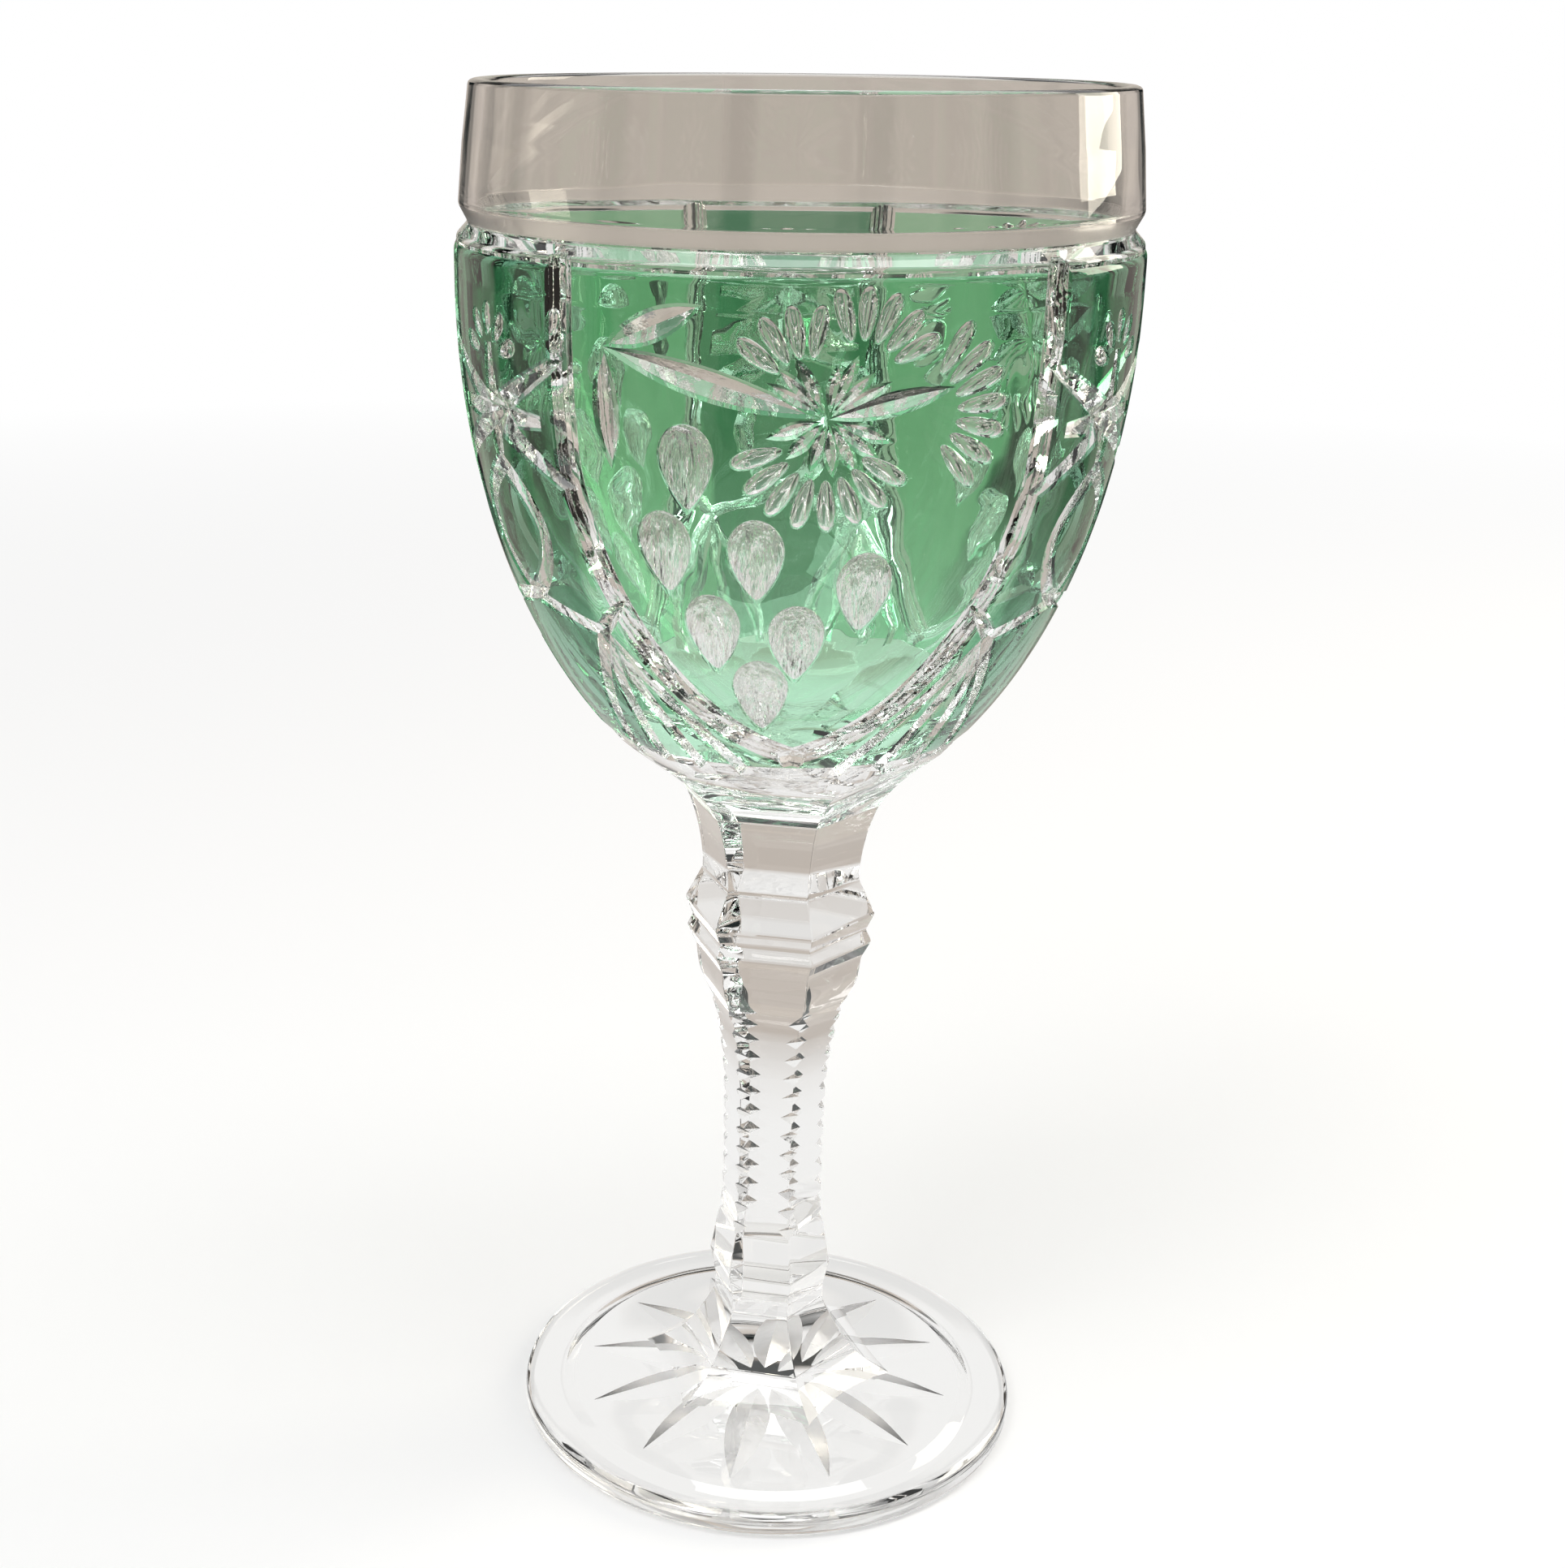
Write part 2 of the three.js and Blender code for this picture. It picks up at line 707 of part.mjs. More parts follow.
function stemProfile() {
  const grooveRadius = upperKnopRadius - knopGrooveDepth;
  const swell = shaftSwell.map(({ rise, gain }) => (
    new THREE.Vector3(shaftRadius + gain, shaftMiddleHeight + rise, 0)
  ));
  const shaft = new THREE.CatmullRomCurve3(swell).getPoints(shaftSteps);
  const neckFoot = upperKnopHeight + upperNeckRise;
  const neck = new THREE.QuadraticBezierCurve(
    new THREE.Vector2(upperNeckRadius, neckFoot),
    new THREE.Vector2(upperNeckRadius, (neckFoot + stemHeight) / 2),
    new THREE.Vector2(calyxNeckRadius, stemHeight - jointGap),
  );
  return [
    [0, jointGap],
    [stemBaseRadius, jointGap],
    [stemBaseRadius - stemBaseTaper, lowerNeckHeight * 0.7],
    [lowerNeckRadius, lowerNeckHeight],
    [lowerNeckRadius, lowerKnopHeight - 0.8 * lowerKnopHalfHeight],
    [lowerKnopRadius, lowerKnopHeight],
    [lowerNeckRadius, lowerKnopHeight + lowerKnopHalfHeight],
    [shaftRadius, lowerKnopHeight + 2 * lowerKnopHalfHeight],
    ...shaft.map((spot) => [spot.x, spot.y]),
    [upperKnopRadius - lowerCrestSetback, upperKnopHeight - lowerCrestFall],
    [grooveRadius, upperKnopHeight - knopGrooveFall],
    [upperKnopRadius, upperKnopHeight],
    ...neck.getPoints(flareSteps).map((spot) => [spot.x, spot.y]),
    [0, stemHeight - jointGap],
  ];
}

function radiusOnProfile(profile, height) {
  const above = profile.findIndex((spot, i) => i > 1 && spot[1] >= height);
  const [[r0, z0], [r1, z1]] = [profile[above - 1], profile[above]];
  return THREE.MathUtils.lerp(r0, r1, (height - z0) / (z1 - z0));
}

function notchCutter(radius, height, turn) {
  const reach = notchDepth * 3;
  const lip = notchDepth;
  const scale = (notchDepth + lip) / notchDepth;
  const section = [
    [radius - notchDepth, 0],
    [radius + lip, notchHalfHeight * scale],
    [radius + lip, -notchHalfHeight * scale],
  ];
  const points = [-reach, reach].flatMap((across) => (
    section.map(([out, rise]) => new THREE.Vector3(across, -out, height + rise))
  ));
  const faces = [0, 1, 2, 3, 5, 4];
  for (let i = 0; i < 3; i += 1) {
    const next = (i + 1) % 3;
    faces.push(i, 3 + next, next, i, 3 + i, 3 + next);
  }
  const geometry = meshFrom(points, faces);
  geometry.rotateZ(turn * degree);
  return toSolid(geometry);
}

function stem() {
  const profile = stemProfile();
  const notches = [];
  for (let side = 0; side < stemSides; side += 1) {
    const turn = stemTurn + (360 / stemSides) * (side + 0.5);
    for (let i = 0; i < notchCount; i += 1) {
      const height = firstNotchHeight + i * notchPitch;
      notches.push(notchCutter(radiusOnProfile(profile, height), height, turn));
    }
  }
  return sixSided(profile).subtract(joinAll(notches));
}

// Foot

function foot() {
  const crown = footEdgeThickness + footRise;
  const disc = revolve([
    [0, hollowHeight],
    [restingRingInner - hollowSlope, hollowHeight],
    [restingRingInner, 0],
    [restingRingOuter, 0],
    [footRadius, footEdgeRounding],
    [footRadius, footEdgeThickness - footEdgeRounding],
    [restingRingOuter, footEdgeThickness],
    [(restingRingOuter + stemBaseRadius) / 2, footEdgeThickness + footRise / 3],
    [stemBaseRadius - flareCoreSetback, crown],
    [0, crown],
  ]);
  const flareCurve = new THREE.QuadraticBezierCurve(
    new THREE.Vector2(stemBaseRadius, footHeight),
    new THREE.Vector2(stemBaseRadius + flareCoreSetback, crown),
    new THREE.Vector2(flareFootRadius, footEdgeThickness),
  );
  const flare = flareCurve.getPoints(flareSteps).map((spot) => [spot.x, spot.y]);
  const sides = sixSided([[0, footHeight], ...flare, [0, footEdgeThickness]]);
  const rays = [];
  const middle = THREE.MathUtils.lerp(footStarInner, footStarOuter, footStarWidest);
  for (let i = 0; i < footStarRays; i += 1) {
    const turn = (stemTurn + (360 / footStarRays) * i) * degree;
    const at = (radius) => ({
      point: new THREE.Vector3(radius * Math.sin(turn), -radius * Math.cos(turn), hollowHeight),
      outward: new THREE.Vector3(0, 0, -1),
      depth: footStarDepth,
    });
    rays.push(grooveCutter([
      { ...at(footStarInner), half: 0 },
      { ...at(middle), half: footStarHalfWidth },
      { ...at(footStarOuter), half: 0 },
    ]));
  }
  return disc.add(sides).subtract(joinAll(rays));
}

// Materials and the assembled glass

const clearCrystal = { color: 0xe8ece9, roughness: 0.04, metalness: 0 };
const greenCasing = { color: 0x2f9460, roughness: 0.05, metalness: 0 };

function named(name, geometry, finish) {
  const material = new THREE.MeshStandardMaterial({ ...finish, flatShading: true });
  const mesh = new THREE.Mesh(geometry, material);
  mesh.name = name;
  return mesh;
}

const glass = new THREE.Group();
const bowl = new THREE.Group();
bowl.position.z = footHeight + stemHeight;
const stemGroup = new THREE.Group();
stemGroup.position.z = footHeight;
glass.add(bowl, stemGroup);

const deep = deepCuts();
const throughCasing = deep.add(shallowCuts());
glass.add(named('foot', toGeometry(foot()), clearCrystal));
stemGroup.add(named('stem', toGeometry(stem()), clearCrystal));
bowl.add(named('crystal_bowl', toGeometry(crystalBowl(deep)), clearCrystal));

const shell = casingShell();

function island(outline) {
  return toGeometry(shell.intersect(blankFor(outline)).subtract(throughCasing));
}

const panelTurns = { front: 0, right: 120, left: -120 };
const panelGeometry = island(panelOutline());
Object.entries(panelTurns).forEach(([side, turn]) => {
  const panel = named(`green_panel_${side}`, panelGeometry, greenCasing);
  panel.rotation.z = turn * degree;
  bowl.add(panel);
});

const columnTurns = { right: 0, back: 120, left: -120 };
Object.entries(columnOutlines()).forEach(([name, outline]) => {
  const shifted = outline.map(([angle, height]) => [columnMiddle + angle, height]);
  const geometry = island(shifted);
  Object.entries(columnTurns).forEach(([side, turn]) => {
    const piece = named(`${side}_column_${name}`, geometry, greenCasing);
    piece.rotation.z = turn * degree;
    bowl.add(piece);
  });
});

export default glass;
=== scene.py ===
import math
from contextlib import contextmanager

import bpy
from bpy.props import FloatProperty, FloatVectorProperty, IntProperty, PointerProperty
from mathutils import Matrix, Vector


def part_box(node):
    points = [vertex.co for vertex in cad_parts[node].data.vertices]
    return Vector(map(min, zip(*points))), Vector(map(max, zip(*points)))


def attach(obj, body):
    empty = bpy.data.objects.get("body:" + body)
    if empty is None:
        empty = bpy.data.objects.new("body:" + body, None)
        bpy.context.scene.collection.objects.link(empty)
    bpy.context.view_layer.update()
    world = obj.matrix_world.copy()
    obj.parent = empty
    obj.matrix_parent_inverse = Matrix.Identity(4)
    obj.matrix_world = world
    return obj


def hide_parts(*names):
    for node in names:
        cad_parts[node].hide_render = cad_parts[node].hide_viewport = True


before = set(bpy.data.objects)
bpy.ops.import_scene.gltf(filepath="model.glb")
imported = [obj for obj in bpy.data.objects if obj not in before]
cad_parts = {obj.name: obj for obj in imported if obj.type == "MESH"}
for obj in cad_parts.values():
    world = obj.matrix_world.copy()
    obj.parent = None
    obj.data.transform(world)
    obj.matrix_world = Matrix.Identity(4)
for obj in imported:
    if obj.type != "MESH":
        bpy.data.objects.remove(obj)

bl_info = {
    "name": "Cut Crystal Goblet",
    "version": (1, 0, 0),
    "blender": (4, 5, 0),
    "location": "View3D > Sidebar > Goblet",
    "description": "Builds a stemmed glass in clear crystal with a green casing that is cut through",
    "category": "Add Mesh",
}

MM = 0.001
TURN = 2 * math.pi
TURN_DEGREES = 360
PANELS = 3
SIDES = 6
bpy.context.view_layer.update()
GLASS_BASE, GLASS_TOP = [corner.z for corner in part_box("crystal_bowl")]
FOOT_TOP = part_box("foot")[1].z
FOOT_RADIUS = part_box("foot")[1].x
GREEN_NODES = sorted(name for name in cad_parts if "panel" in name or "column" in name)


def size(name, description, millimetres):
    length = millimetres * MM
    return FloatProperty(name=name, description=description, default=length, precision=5, unit="LENGTH")


def tint(name, description, colour):
    return FloatVectorProperty(
        name=name, description=description, default=colour, subtype="COLOR", min=0, max=1
    )


class GobletBowl(bpy.types.PropertyGroup):
    """Sizes of the bowl and of its green casing."""

    belly_radius: size("Belly radius", "Widest radius of the cased body", 41.4)
    belly_height: size("Belly height", "Height of the widest ring above the table", 157)
    body_depth: size("Body depth", "Depth of the half ellipse under the belly", 66.9)
    wall: size("Wall", "Crystal wall at the belly", 3.9)
    floor: size("Floor", "Crystal under the inside of the bowl", 8.9)
    casing: size("Casing", "Thickness of the green casing", 0.3)
    casing_gap: size("Casing gap", "Gap between the casing and the crystal", 0.02)
    casing_foot: size("Casing foot", "Height where the casing ends above the table", 102.5)
    shoulder: size("Shoulder", "Height of the casing's upper edge", 161.8)
    shoulder_chamfer: size("Shoulder chamfer", "Height of the bevel at the casing's upper edge", 1.2)
    shoulder_setback: size("Shoulder setback", "Width of the bevel at the casing's upper edge", 0.48)
    band_foot: size("Band foot", "Height of the lower edge of the plain rim band", 166)
    band_setback: size("Band setback", "Step from the belly in to the rim band", 0.6)
    band_bulge: size("Band bulge", "Outward bow of the rim band", 0.1)
    ledge_groove: size("Ledge groove", "Depth of the groove between casing and rim band", 1.1)
    rim_taper: size("Rim taper", "How much narrower the rim is than the band's foot", 1.4)
    rim_wall: size("Rim wall", "Wall at the rim", 2)
    band_wall: size("Band wall", "Wall at the lower edge of the rim band", 2.1)
    rim_round: size("Rim rounding", "Radius of the fire-polished rim", 0.6)
    neck_radius: size("Neck radius", "Corner radius of the six-sided neck under the bowl", 12.8)
    calyx_radius: size("Calyx control radius", "Pull of the six-sided flare outwards", 17.5)
    calyx_height: size("Calyx control height", "Pull of the six-sided flare upwards", 8.5)
    calyx_reach: size("Calyx reach", "Corner radius at which the flare leaves the bowl", 36)
    calyx_rise: size("Calyx rise", "Height at which the flare leaves the bowl", 14)
    allowance: size("Allowance", "Glass left outside the flare before it is ground", 1.1)
    segments: IntProperty(name="Segments", description="Flats round the turned surfaces", default=192, min=24)


class GobletCuts(bpy.types.PropertyGroup):
    """Sizes of the wheel cuts. A depth is measured from the skin of the casing."""

    border_angle: FloatProperty(name="Border angle", description="Half of a panel, in degrees", default=40.7)
    border_half: size("Border half width", "Half width of the clear border of a panel", 2.15)
    border_depth: size("Border depth", "Depth of the border", 1.2)
    petal_half: size("Petal half width", "Half width of a leaf petal", 1.32)
    petal_depth: size("Petal depth", "Depth of a petal", 0.95)
    vein_half: size("Vein half width", "Half width of the thin cuts near the leaf's hub", 0.95)
    blade_half: size("Blade half width", "Half width of a long blade", 1.85)
    blade_depth: size("Blade depth", "Depth of a long blade", 1.3)
    leaf_reach: size("Leaf reach", "Unit in which the leaf is laid out", 10)
    grape_half: size("Grape half width", "Half width of a grape", 3.2)
    grape_top: size("Grape top", "Height of a grape over its middle", 3.8)
    grape_tip: size("Grape tip", "Length of the pointed end under a grape's middle", 6.8)
    grape_depth: size("Grape depth", "Depth of a grape under the skin", 1.7)
    star_half: size("Star half width", "Half width of a star arm at the hub", 1.8)
    star_depth: size("Star depth", "Depth of a star arm at the hub", 2)
    star_end_depth: size("Star end depth", "Depth of a star arm at its end", 1)
    oval_half: size("Oval half width", "Half width of the cuts that frame the oval", 1.4)
    oval_depth: size("Oval depth", "Depth of the oval's cuts", 1.5)
    fan_half: size("Fan half width", "Half width of a fan arm", 1.1)
    fan_depth: size("Fan depth", "Depth of a fan arm", 1.4)


class GobletStem(bpy.types.PropertyGroup):
    """Sizes of the six-sided stem, as radii of its corners."""

    turn: FloatProperty(name="Turn", description="Turn of the six sides, in degrees", default=-12)
    gap: size("Gap", "Gap to the bowl and to the foot", 0.02)
    upper_neck: size("Upper neck", "Radius over the upper knop", 10.6)
    upper_neck_rise: size("Upper neck rise", "Height of the neck over the knop", 4.6)
    knop_radius: size("Knop radius", "Radius of the upper knop", 12.9)
    knop_height: size("Knop height", "Height of the upper knop above the table", 75.4)
    knop_groove: size("Knop groove", "Depth of the groove round the knop", 1.1)
    groove_fall: size("Groove fall", "Drop from the knop to its groove", 2.4)
    crest_fall: size("Crest fall", "Drop from the knop to its lower crest", 4)
    crest_setback: size("Crest setback", "Step in to the lower crest", 0.3)
    shaft_radius: size("Shaft radius", "Radius at the shaft's waist", 7)
    shaft_middle: size("Shaft middle", "Height of the waist above the table", 40)
    lower_knop: size("Lower knop", "Radius of the lower knop", 8.6)
    lower_height: size("Lower knop height", "Height of the lower knop above the table", 22)
    lower_half: size("Lower knop half height", "Half height of the lower knop", 4.6)
    lower_neck: size("Lower neck", "Radius beside the lower knop", 7.8)
    lower_neck_height: size("Lower neck height", "Height of the lower neck above the table", 16)
    base_radius: size("Base radius", "Radius where the stem meets the foot", 11.9)
    base_taper: size("Base taper", "How far the base draws in", 2.6)
    notch_count: IntProperty(name="Notches", description="Notches along each edge", default=12, min=1)
    notch_pitch: size("Notch pitch", "Distance from notch to notch", 2.9)
    notch_depth: size("Notch depth", "Depth of a notch at the edge", 0.75)
    notch_half: size("Notch half height", "Half height of a notch", 0.95)
    first_notch: size("First notch", "Height of the lowest notch above the table", 29.5)
    edge_bevel: size("Edge bevel", "Polish on the edges between the sides", 0.18)


class GobletFoot(bpy.types.PropertyGroup):
    """Sizes of the round foot."""

    edge: size("Edge", "Thickness at the rim of the foot", 3.4)
    rise: size("Rise", "Rise of the foot towards the stem", 3.2)
    edge_round: size("Edge rounding", "Rounding of the foot's rim", 0.7)
    ring_inner: size("Ring inner radius", "Inner radius of the ring that it stands on", 29.5)
    ring_outer: size("Ring outer radius", "Outer radius of the ring that it stands on", 33.4)
    hollow: size("Hollow", "Height of the hollow under the foot", 0.8)
    hollow_slope: size("Hollow slope", "Width of the slope into the hollow", 2)
    flare_radius: size("Flare radius", "Corner radius of the six-sided flare on the foot", 22)
    core_setback: size("Core setback", "How far the round core stays inside the flare", 2)
    ray_inner: size("Ray inner end", "Inner radius of the star's rays", 4)
    ray_outer: size("Ray outer end", "Outer radius of the star's rays", 25.5)
    ray_half: size("Ray half width", "Half width of a ray", 2.8)
    ray_depth: size("Ray depth", "Depth of a ray", 1.3)
    rays: IntProperty(name="Rays", description="Rays of the star under the foot", default=12, min=3)


class GobletLooks(bpy.types.PropertyGroup):
    """Colours of the glass and of the stage."""

    crystal: tint("Crystal", "Colour of the clear glass", (0.92, 0.915, 0.9))
    casing: tint("Casing", "Colour of the green casing", (0.33, 0.9, 0.5))
    # casing_dark: the darker green of the painted shade towards the shoulder and the left, also used by
    # random clouds of tone
    casing_dark: tint("Casing, thick", "Colour where the casing lies thicker", (0.17, 0.68, 0.3))
    column: tint("Columns", "Colour of the columns, which read as thicker casing", (0.008, 0.12, 0.045))
    table: tint("Table", "Colour of the floor", (0.93, 0.93, 0.93))
    far_table: tint("Far table", "Colour that glass shows of the floor further off", (0.56, 0.5, 0.45))
    room: tint("Room", "Colour that glass shows of the wall round the stage", (0.6, 0.535, 0.475))


GROUPS = {
    "goblet_bowl": GobletBowl,
    "goblet_cuts": GobletCuts,
    "goblet_stem": GobletStem,
    "goblet_foot": GobletFoot,
    "goblet_looks": GobletLooks,
}


def chosen(group):
    return getattr(bpy.context.scene, "goblet_" + group)


# Shader maths

class Value:
    """A number that varies over a surface. Python's operators add Math nodes to its tree."""

    def __init__(self, tree, socket):
        self.tree = tree
        self.socket = socket

    def maths(self, operation, *others):
        node = self.tree.nodes.new("ShaderNodeMath")
        node.operation = operation
        for slot, value in zip(node.inputs, (self, *others)):
            if isinstance(value, Value):
                self.tree.links.new(value.socket, slot)
            else:
                slot.default_value = value
        return Value(self.tree, node.outputs[0])

    def turned_round(self, operation, other):
        node = self.tree.nodes.new("ShaderNodeMath")
        node.operation = operation
        node.inputs[0].default_value = other
        self.tree.links.new(self.socket, node.inputs[1])
        return Value(self.tree, node.outputs[0])

    def __add__(self, other):
        return self.maths("ADD", other)

    def __sub__(self, other):
        return self.maths("SUBTRACT", other)

    def __mul__(self, other):
        return self.maths("MULTIPLY", other)

    def __truediv__(self, other):
        return self.maths("DIVIDE", other)

    def __pow__(self, other):
        return self.maths("POWER", other)

    def __radd__(self, other):
        return self + other

    def __rmul__(self, other):
        return self * other

    def __rsub__(self, other):
        return self.turned_round("SUBTRACT", other)

    def __rtruediv__(self, other):
        return self.turned_round("DIVIDE", other)

    def clamped(self):
        return self.maths("MAXIMUM", 0.0).maths("MINIMUM", 1.0)

    def ramped(self, low, high):
        """0 below low, 1 above high and a straight line between them."""
        return ((self - low) / (high - low)).clamped()


class Recipe:
    """The node tree of one material or world, with one method that adds any node."""

    def __init__(self, owner):
        owner.use_nodes = True
        self.tree = owner.node_tree
        self.tree.nodes.clear()

    def node(self, kind, settings=None, **links):
        made = self.tree.nodes.new("ShaderNode" + kind)
        for key, value in (settings or {}).items():
            setattr(made, key, value)
        for key, value in links.items():
            spot = made.inputs[int(key[1:])] if key[1:].isdigit() else made.inputs[key.replace("_", " ")]
            if isinstance(value, Value):
                value = value.socket
            if isinstance(value, bpy.types.NodeSocket):
                self.tree.links.new(value, spot)
            else:
                spot.default_value = value
        return made

    def value(self, node, output=0):
        return Value(self.tree, node.outputs[output])

    def colour_mix(self, factor, first, second):
        first, second = [(*c, 1) if isinstance(c, (tuple, list)) else c for c in (first, second)]
        node = self.node("Mix", {"data_type": "RGBA"}, _0=factor, _6=first, _7=second)
        return node.outputs[2]

    def places(self, kind="Object"):
        """The coordinates of that kind, whole and as three values."""
        coordinates = self.node("TexCoord").outputs[kind]
        parts = self.node("SeparateXYZ", _0=coordinates)
        return coordinates, [self.value(parts, i) for i in range(3)]

    def noise(self, scale, detail, coordinates=None):
        if coordinates is None:
            coordinates = self.node("TexCoord").outputs["Object"]
        return self.value(self.node("TexNoise", Vector=coordinates, Scale=scale, Detail=detail))

    def bump(self, height, strength, distance):
        return self.node("Bump", Height=height, Strength=strength, Distance=distance).outputs["Normal"]

    def rays(self):
        """1 for what the camera sees directly, and 1 for what it sees by gloss or through glass."""
        path = self.node("LightPath")
        through = self.value(path, "Is Glossy Ray") + self.value(path, "Is Transmission Ray")
        return self.value(path, "Is Camera Ray"), through.clamped()

    def finish(self, shader, target="OutputMaterial"):
        self.node(target, Surface=shader)


def material(name, make):
    """Makes the material once and gives the same one after that."""
    found = bpy.data.materials.get(name)
    if found is None:
        found = bpy.data.materials.new(name)
        make(Recipe(found))
    return found


# Finishes

CRYSTAL_IOR = 1.53
# Painted shade on the casing: it darkens from CASING_PALE_BELOW up to CASING_DARK_ABOVE and further to the
# left; the clouds are random tone of the glass.
CASING_PALE_BELOW = 112 * MM
CASING_DARK_ABOVE = 158 * MM
COLUMN_EDGES = (-0.52, -0.62)
COLUMN_DARKNESS = 0.85
RISE_SHARE = 0.7
CLOUD_SHARE = 0.45
PALE_OFFSET = 0.08
SHADE_PER_METRE_LEFT = 4.0


def glass(recipe, colour, roughness, normal):
    shader = recipe.node(
        "BsdfPrincipled",
        Base_Color=colour,
        Roughness=roughness,
        IOR=CRYSTAL_IOR,
        Transmission_Weight=1.0,
        Normal=normal,
    )
    recipe.finish(shader.outputs["BSDF"])


def clear_crystal(recipe, roughness, normal):
    glass(recipe, (*chosen("looks").crystal, 1), roughness, normal)


def blown_surface(recipe, scale, distance, strength):
    """The slow waves and the faint orange peel of hot-worked and acid-polished glass."""
    return recipe.bump(recipe.noise(scale, detail=2.0), strength, distance)


def make_crystal(recipe):
    """Clear glass with slow waves and a few faint smears."""
    smears = recipe.noise(scale=60.0, detail=4.0).ramped(0.55, 0.8)
    waves = blown_surface(recipe, scale=45.0, distance=0.4 * MM, strength=0.35)
    clear_crystal(recipe, roughness=smears * 0.03 + 0.004, normal=waves)


def make_cut(recipe):
    """Polished wheel cut: bright, with the faint lines that the wheel leaves."""
    grain = recipe.noise(scale=700.0, detail=3.0)
    lines = recipe.bump(grain, strength=0.25, distance=0.2 * MM)
    clear_crystal(recipe, roughness=grain * 0.05 + 0.01, normal=lines)


def make_ground(recipe):
    """Ground lens of a grape: fine upright streaks on a softly polished hollow."""
    coordinates, _ = recipe.places()
    stretched = recipe.node("Mapping", Vector=coordinates, Scale=(1.0, 1.0, 0.14)).outputs["Vector"]
    streaks = recipe.noise(scale=1000.0, detail=3.0, coordinates=stretched)
    ridges = recipe.bump(streaks, strength=1.0, distance=3 * MM)
    clear_crystal(recipe, roughness=streaks * 0.06 + 0.02, normal=ridges)


def make_soft_polish(recipe):
    """The star under the foot and the step under the rim band, left a little dull."""
    peel = blown_surface(recipe, scale=300.0, distance=0.2 * MM, strength=0.5)
    clear_crystal(recipe, roughness=0.3, normal=peel)


def make_casing(recipe):
    """Green casing with painted shade, darker towards the shoulder and to the left; also darker on the
    columns and in slow random clouds of tone.
    """
    looks = chosen("looks")
    coordinates, (x, y, z) = recipe.places()
    cloud = recipe.noise(scale=34.0, detail=2.0, coordinates=coordinates).ramped(0.3, 0.7)
    rise = z.ramped(CASING_PALE_BELOW, CASING_DARK_ABOVE)
    # painted shade towards the shoulder and to the left, mixed with random clouds of tone
    shade_and_cloud = (rise * RISE_SHARE + cloud * CLOUD_SHARE - x * SHADE_PER_METRE_LEFT - PALE_OFFSET).clamped()
    azimuth = x.maths("ARCTAN2", y * -1.0)
    column = (azimuth * float(PANELS)).maths("COSINE").ramped(*COLUMN_EDGES)
    panel = recipe.colour_mix(shade_and_cloud, tuple(looks.casing), tuple(looks.casing_dark))
    colour = recipe.colour_mix(column * COLUMN_DARKNESS, panel, tuple(looks.column))
    waves = blown_surface(recipe, scale=70.0, distance=0.6 * MM, strength=0.75)
    glass(recipe, colour, roughness=cloud * 0.01 + 0.008, normal=waves)


def make_bond(recipe):
    """Hidden face where two pieces are fused. Light passes it as if the glass ran on."""
    recipe.finish(recipe.node("BsdfPrincipled", Roughness=0.0, Alpha=0.0).outputs["BSDF"])


FINISHES = {
    "clear_glass": make_crystal,
    "bond": make_bond,
    "wheel_cut": make_cut,
    "ground_lens": make_ground,
    "soft_polish": make_soft_polish,
    "green_glass": make_casing,
}


def give_finishes(piece, *names):
    for name in names:
        piece.data.materials.append(material(name, FINISHES[name]))


# Work with one piece at a time

WELD = 0.0005 * MM  # points closer together than this become one
HAIR = 0.005 * MM  # how far from a level a face's middle may lie and still belong to it
LEVEL = 0.98  # a normal at least this upright belongs to a level face
SOFTENED_FROM = math.radians(9)
FLAT_SHARE = 0.4  # most of a flat that the rounding of one end may take
RUN_UP = 0.2  # length of the short flat beside a rounding, as a share of it


def only(piece):
    bpy.ops.object.select_all(action="DESELECT")
    piece.select_set(True)
    bpy.context.view_layer.objects.active = piece


@contextmanager
def editing(piece):
    """Edit mode on one piece, with all of it selected."""
    only(piece)
    bpy.ops.object.mode_set(mode="EDIT")
    bpy.ops.mesh.select_all(action="SELECT")
    yield
    bpy.ops.object.mode_set(mode="OBJECT")


def remove(piece):
    mesh = piece.data
    bpy.data.objects.remove(piece)
    bpy.data.meshes.remove(mesh)


def apply(piece, kind, **settings):
    only(piece)
    modifier = piece.modifiers.new(kind.lower(), kind)
    for key, value in settings.items():
        setattr(modifier, key, value)
    bpy.ops.object.modifier_apply(modifier=modifier.name)


def combine(piece, tool, operation, keep=False):
    """Adds, takes away or intersects a tool, which is then thrown away unless it is kept."""
    apply(piece, "BOOLEAN", operation=operation, solver="MANIFOLD", material_mode="TRANSFER", object=tool)
    if not keep:
        remove(tool)


def union(pieces):
    whole, *others = pieces
    for piece in others:
        combine(whole, piece, "UNION")
    return whole


def joined(pieces):
    """Puts the meshes of all the pieces into the first, without merging them."""
    only(pieces[0])
    for piece in pieces:
        piece.select_set(True)
    if len(pieces) > 1:
        bpy.ops.object.join()
    return pieces[0]


def copy_of(piece, matrix=Matrix.Identity(4)):
    made = piece.copy()
    made.data = piece.data.copy()
    made.data.transform(matrix)
    bpy.context.scene.collection.objects.link(made)
    return made


def level_aim(turn):
    """Level direction at an angle from the front."""
    return Vector((math.sin(turn), -math.cos(turn), 0))


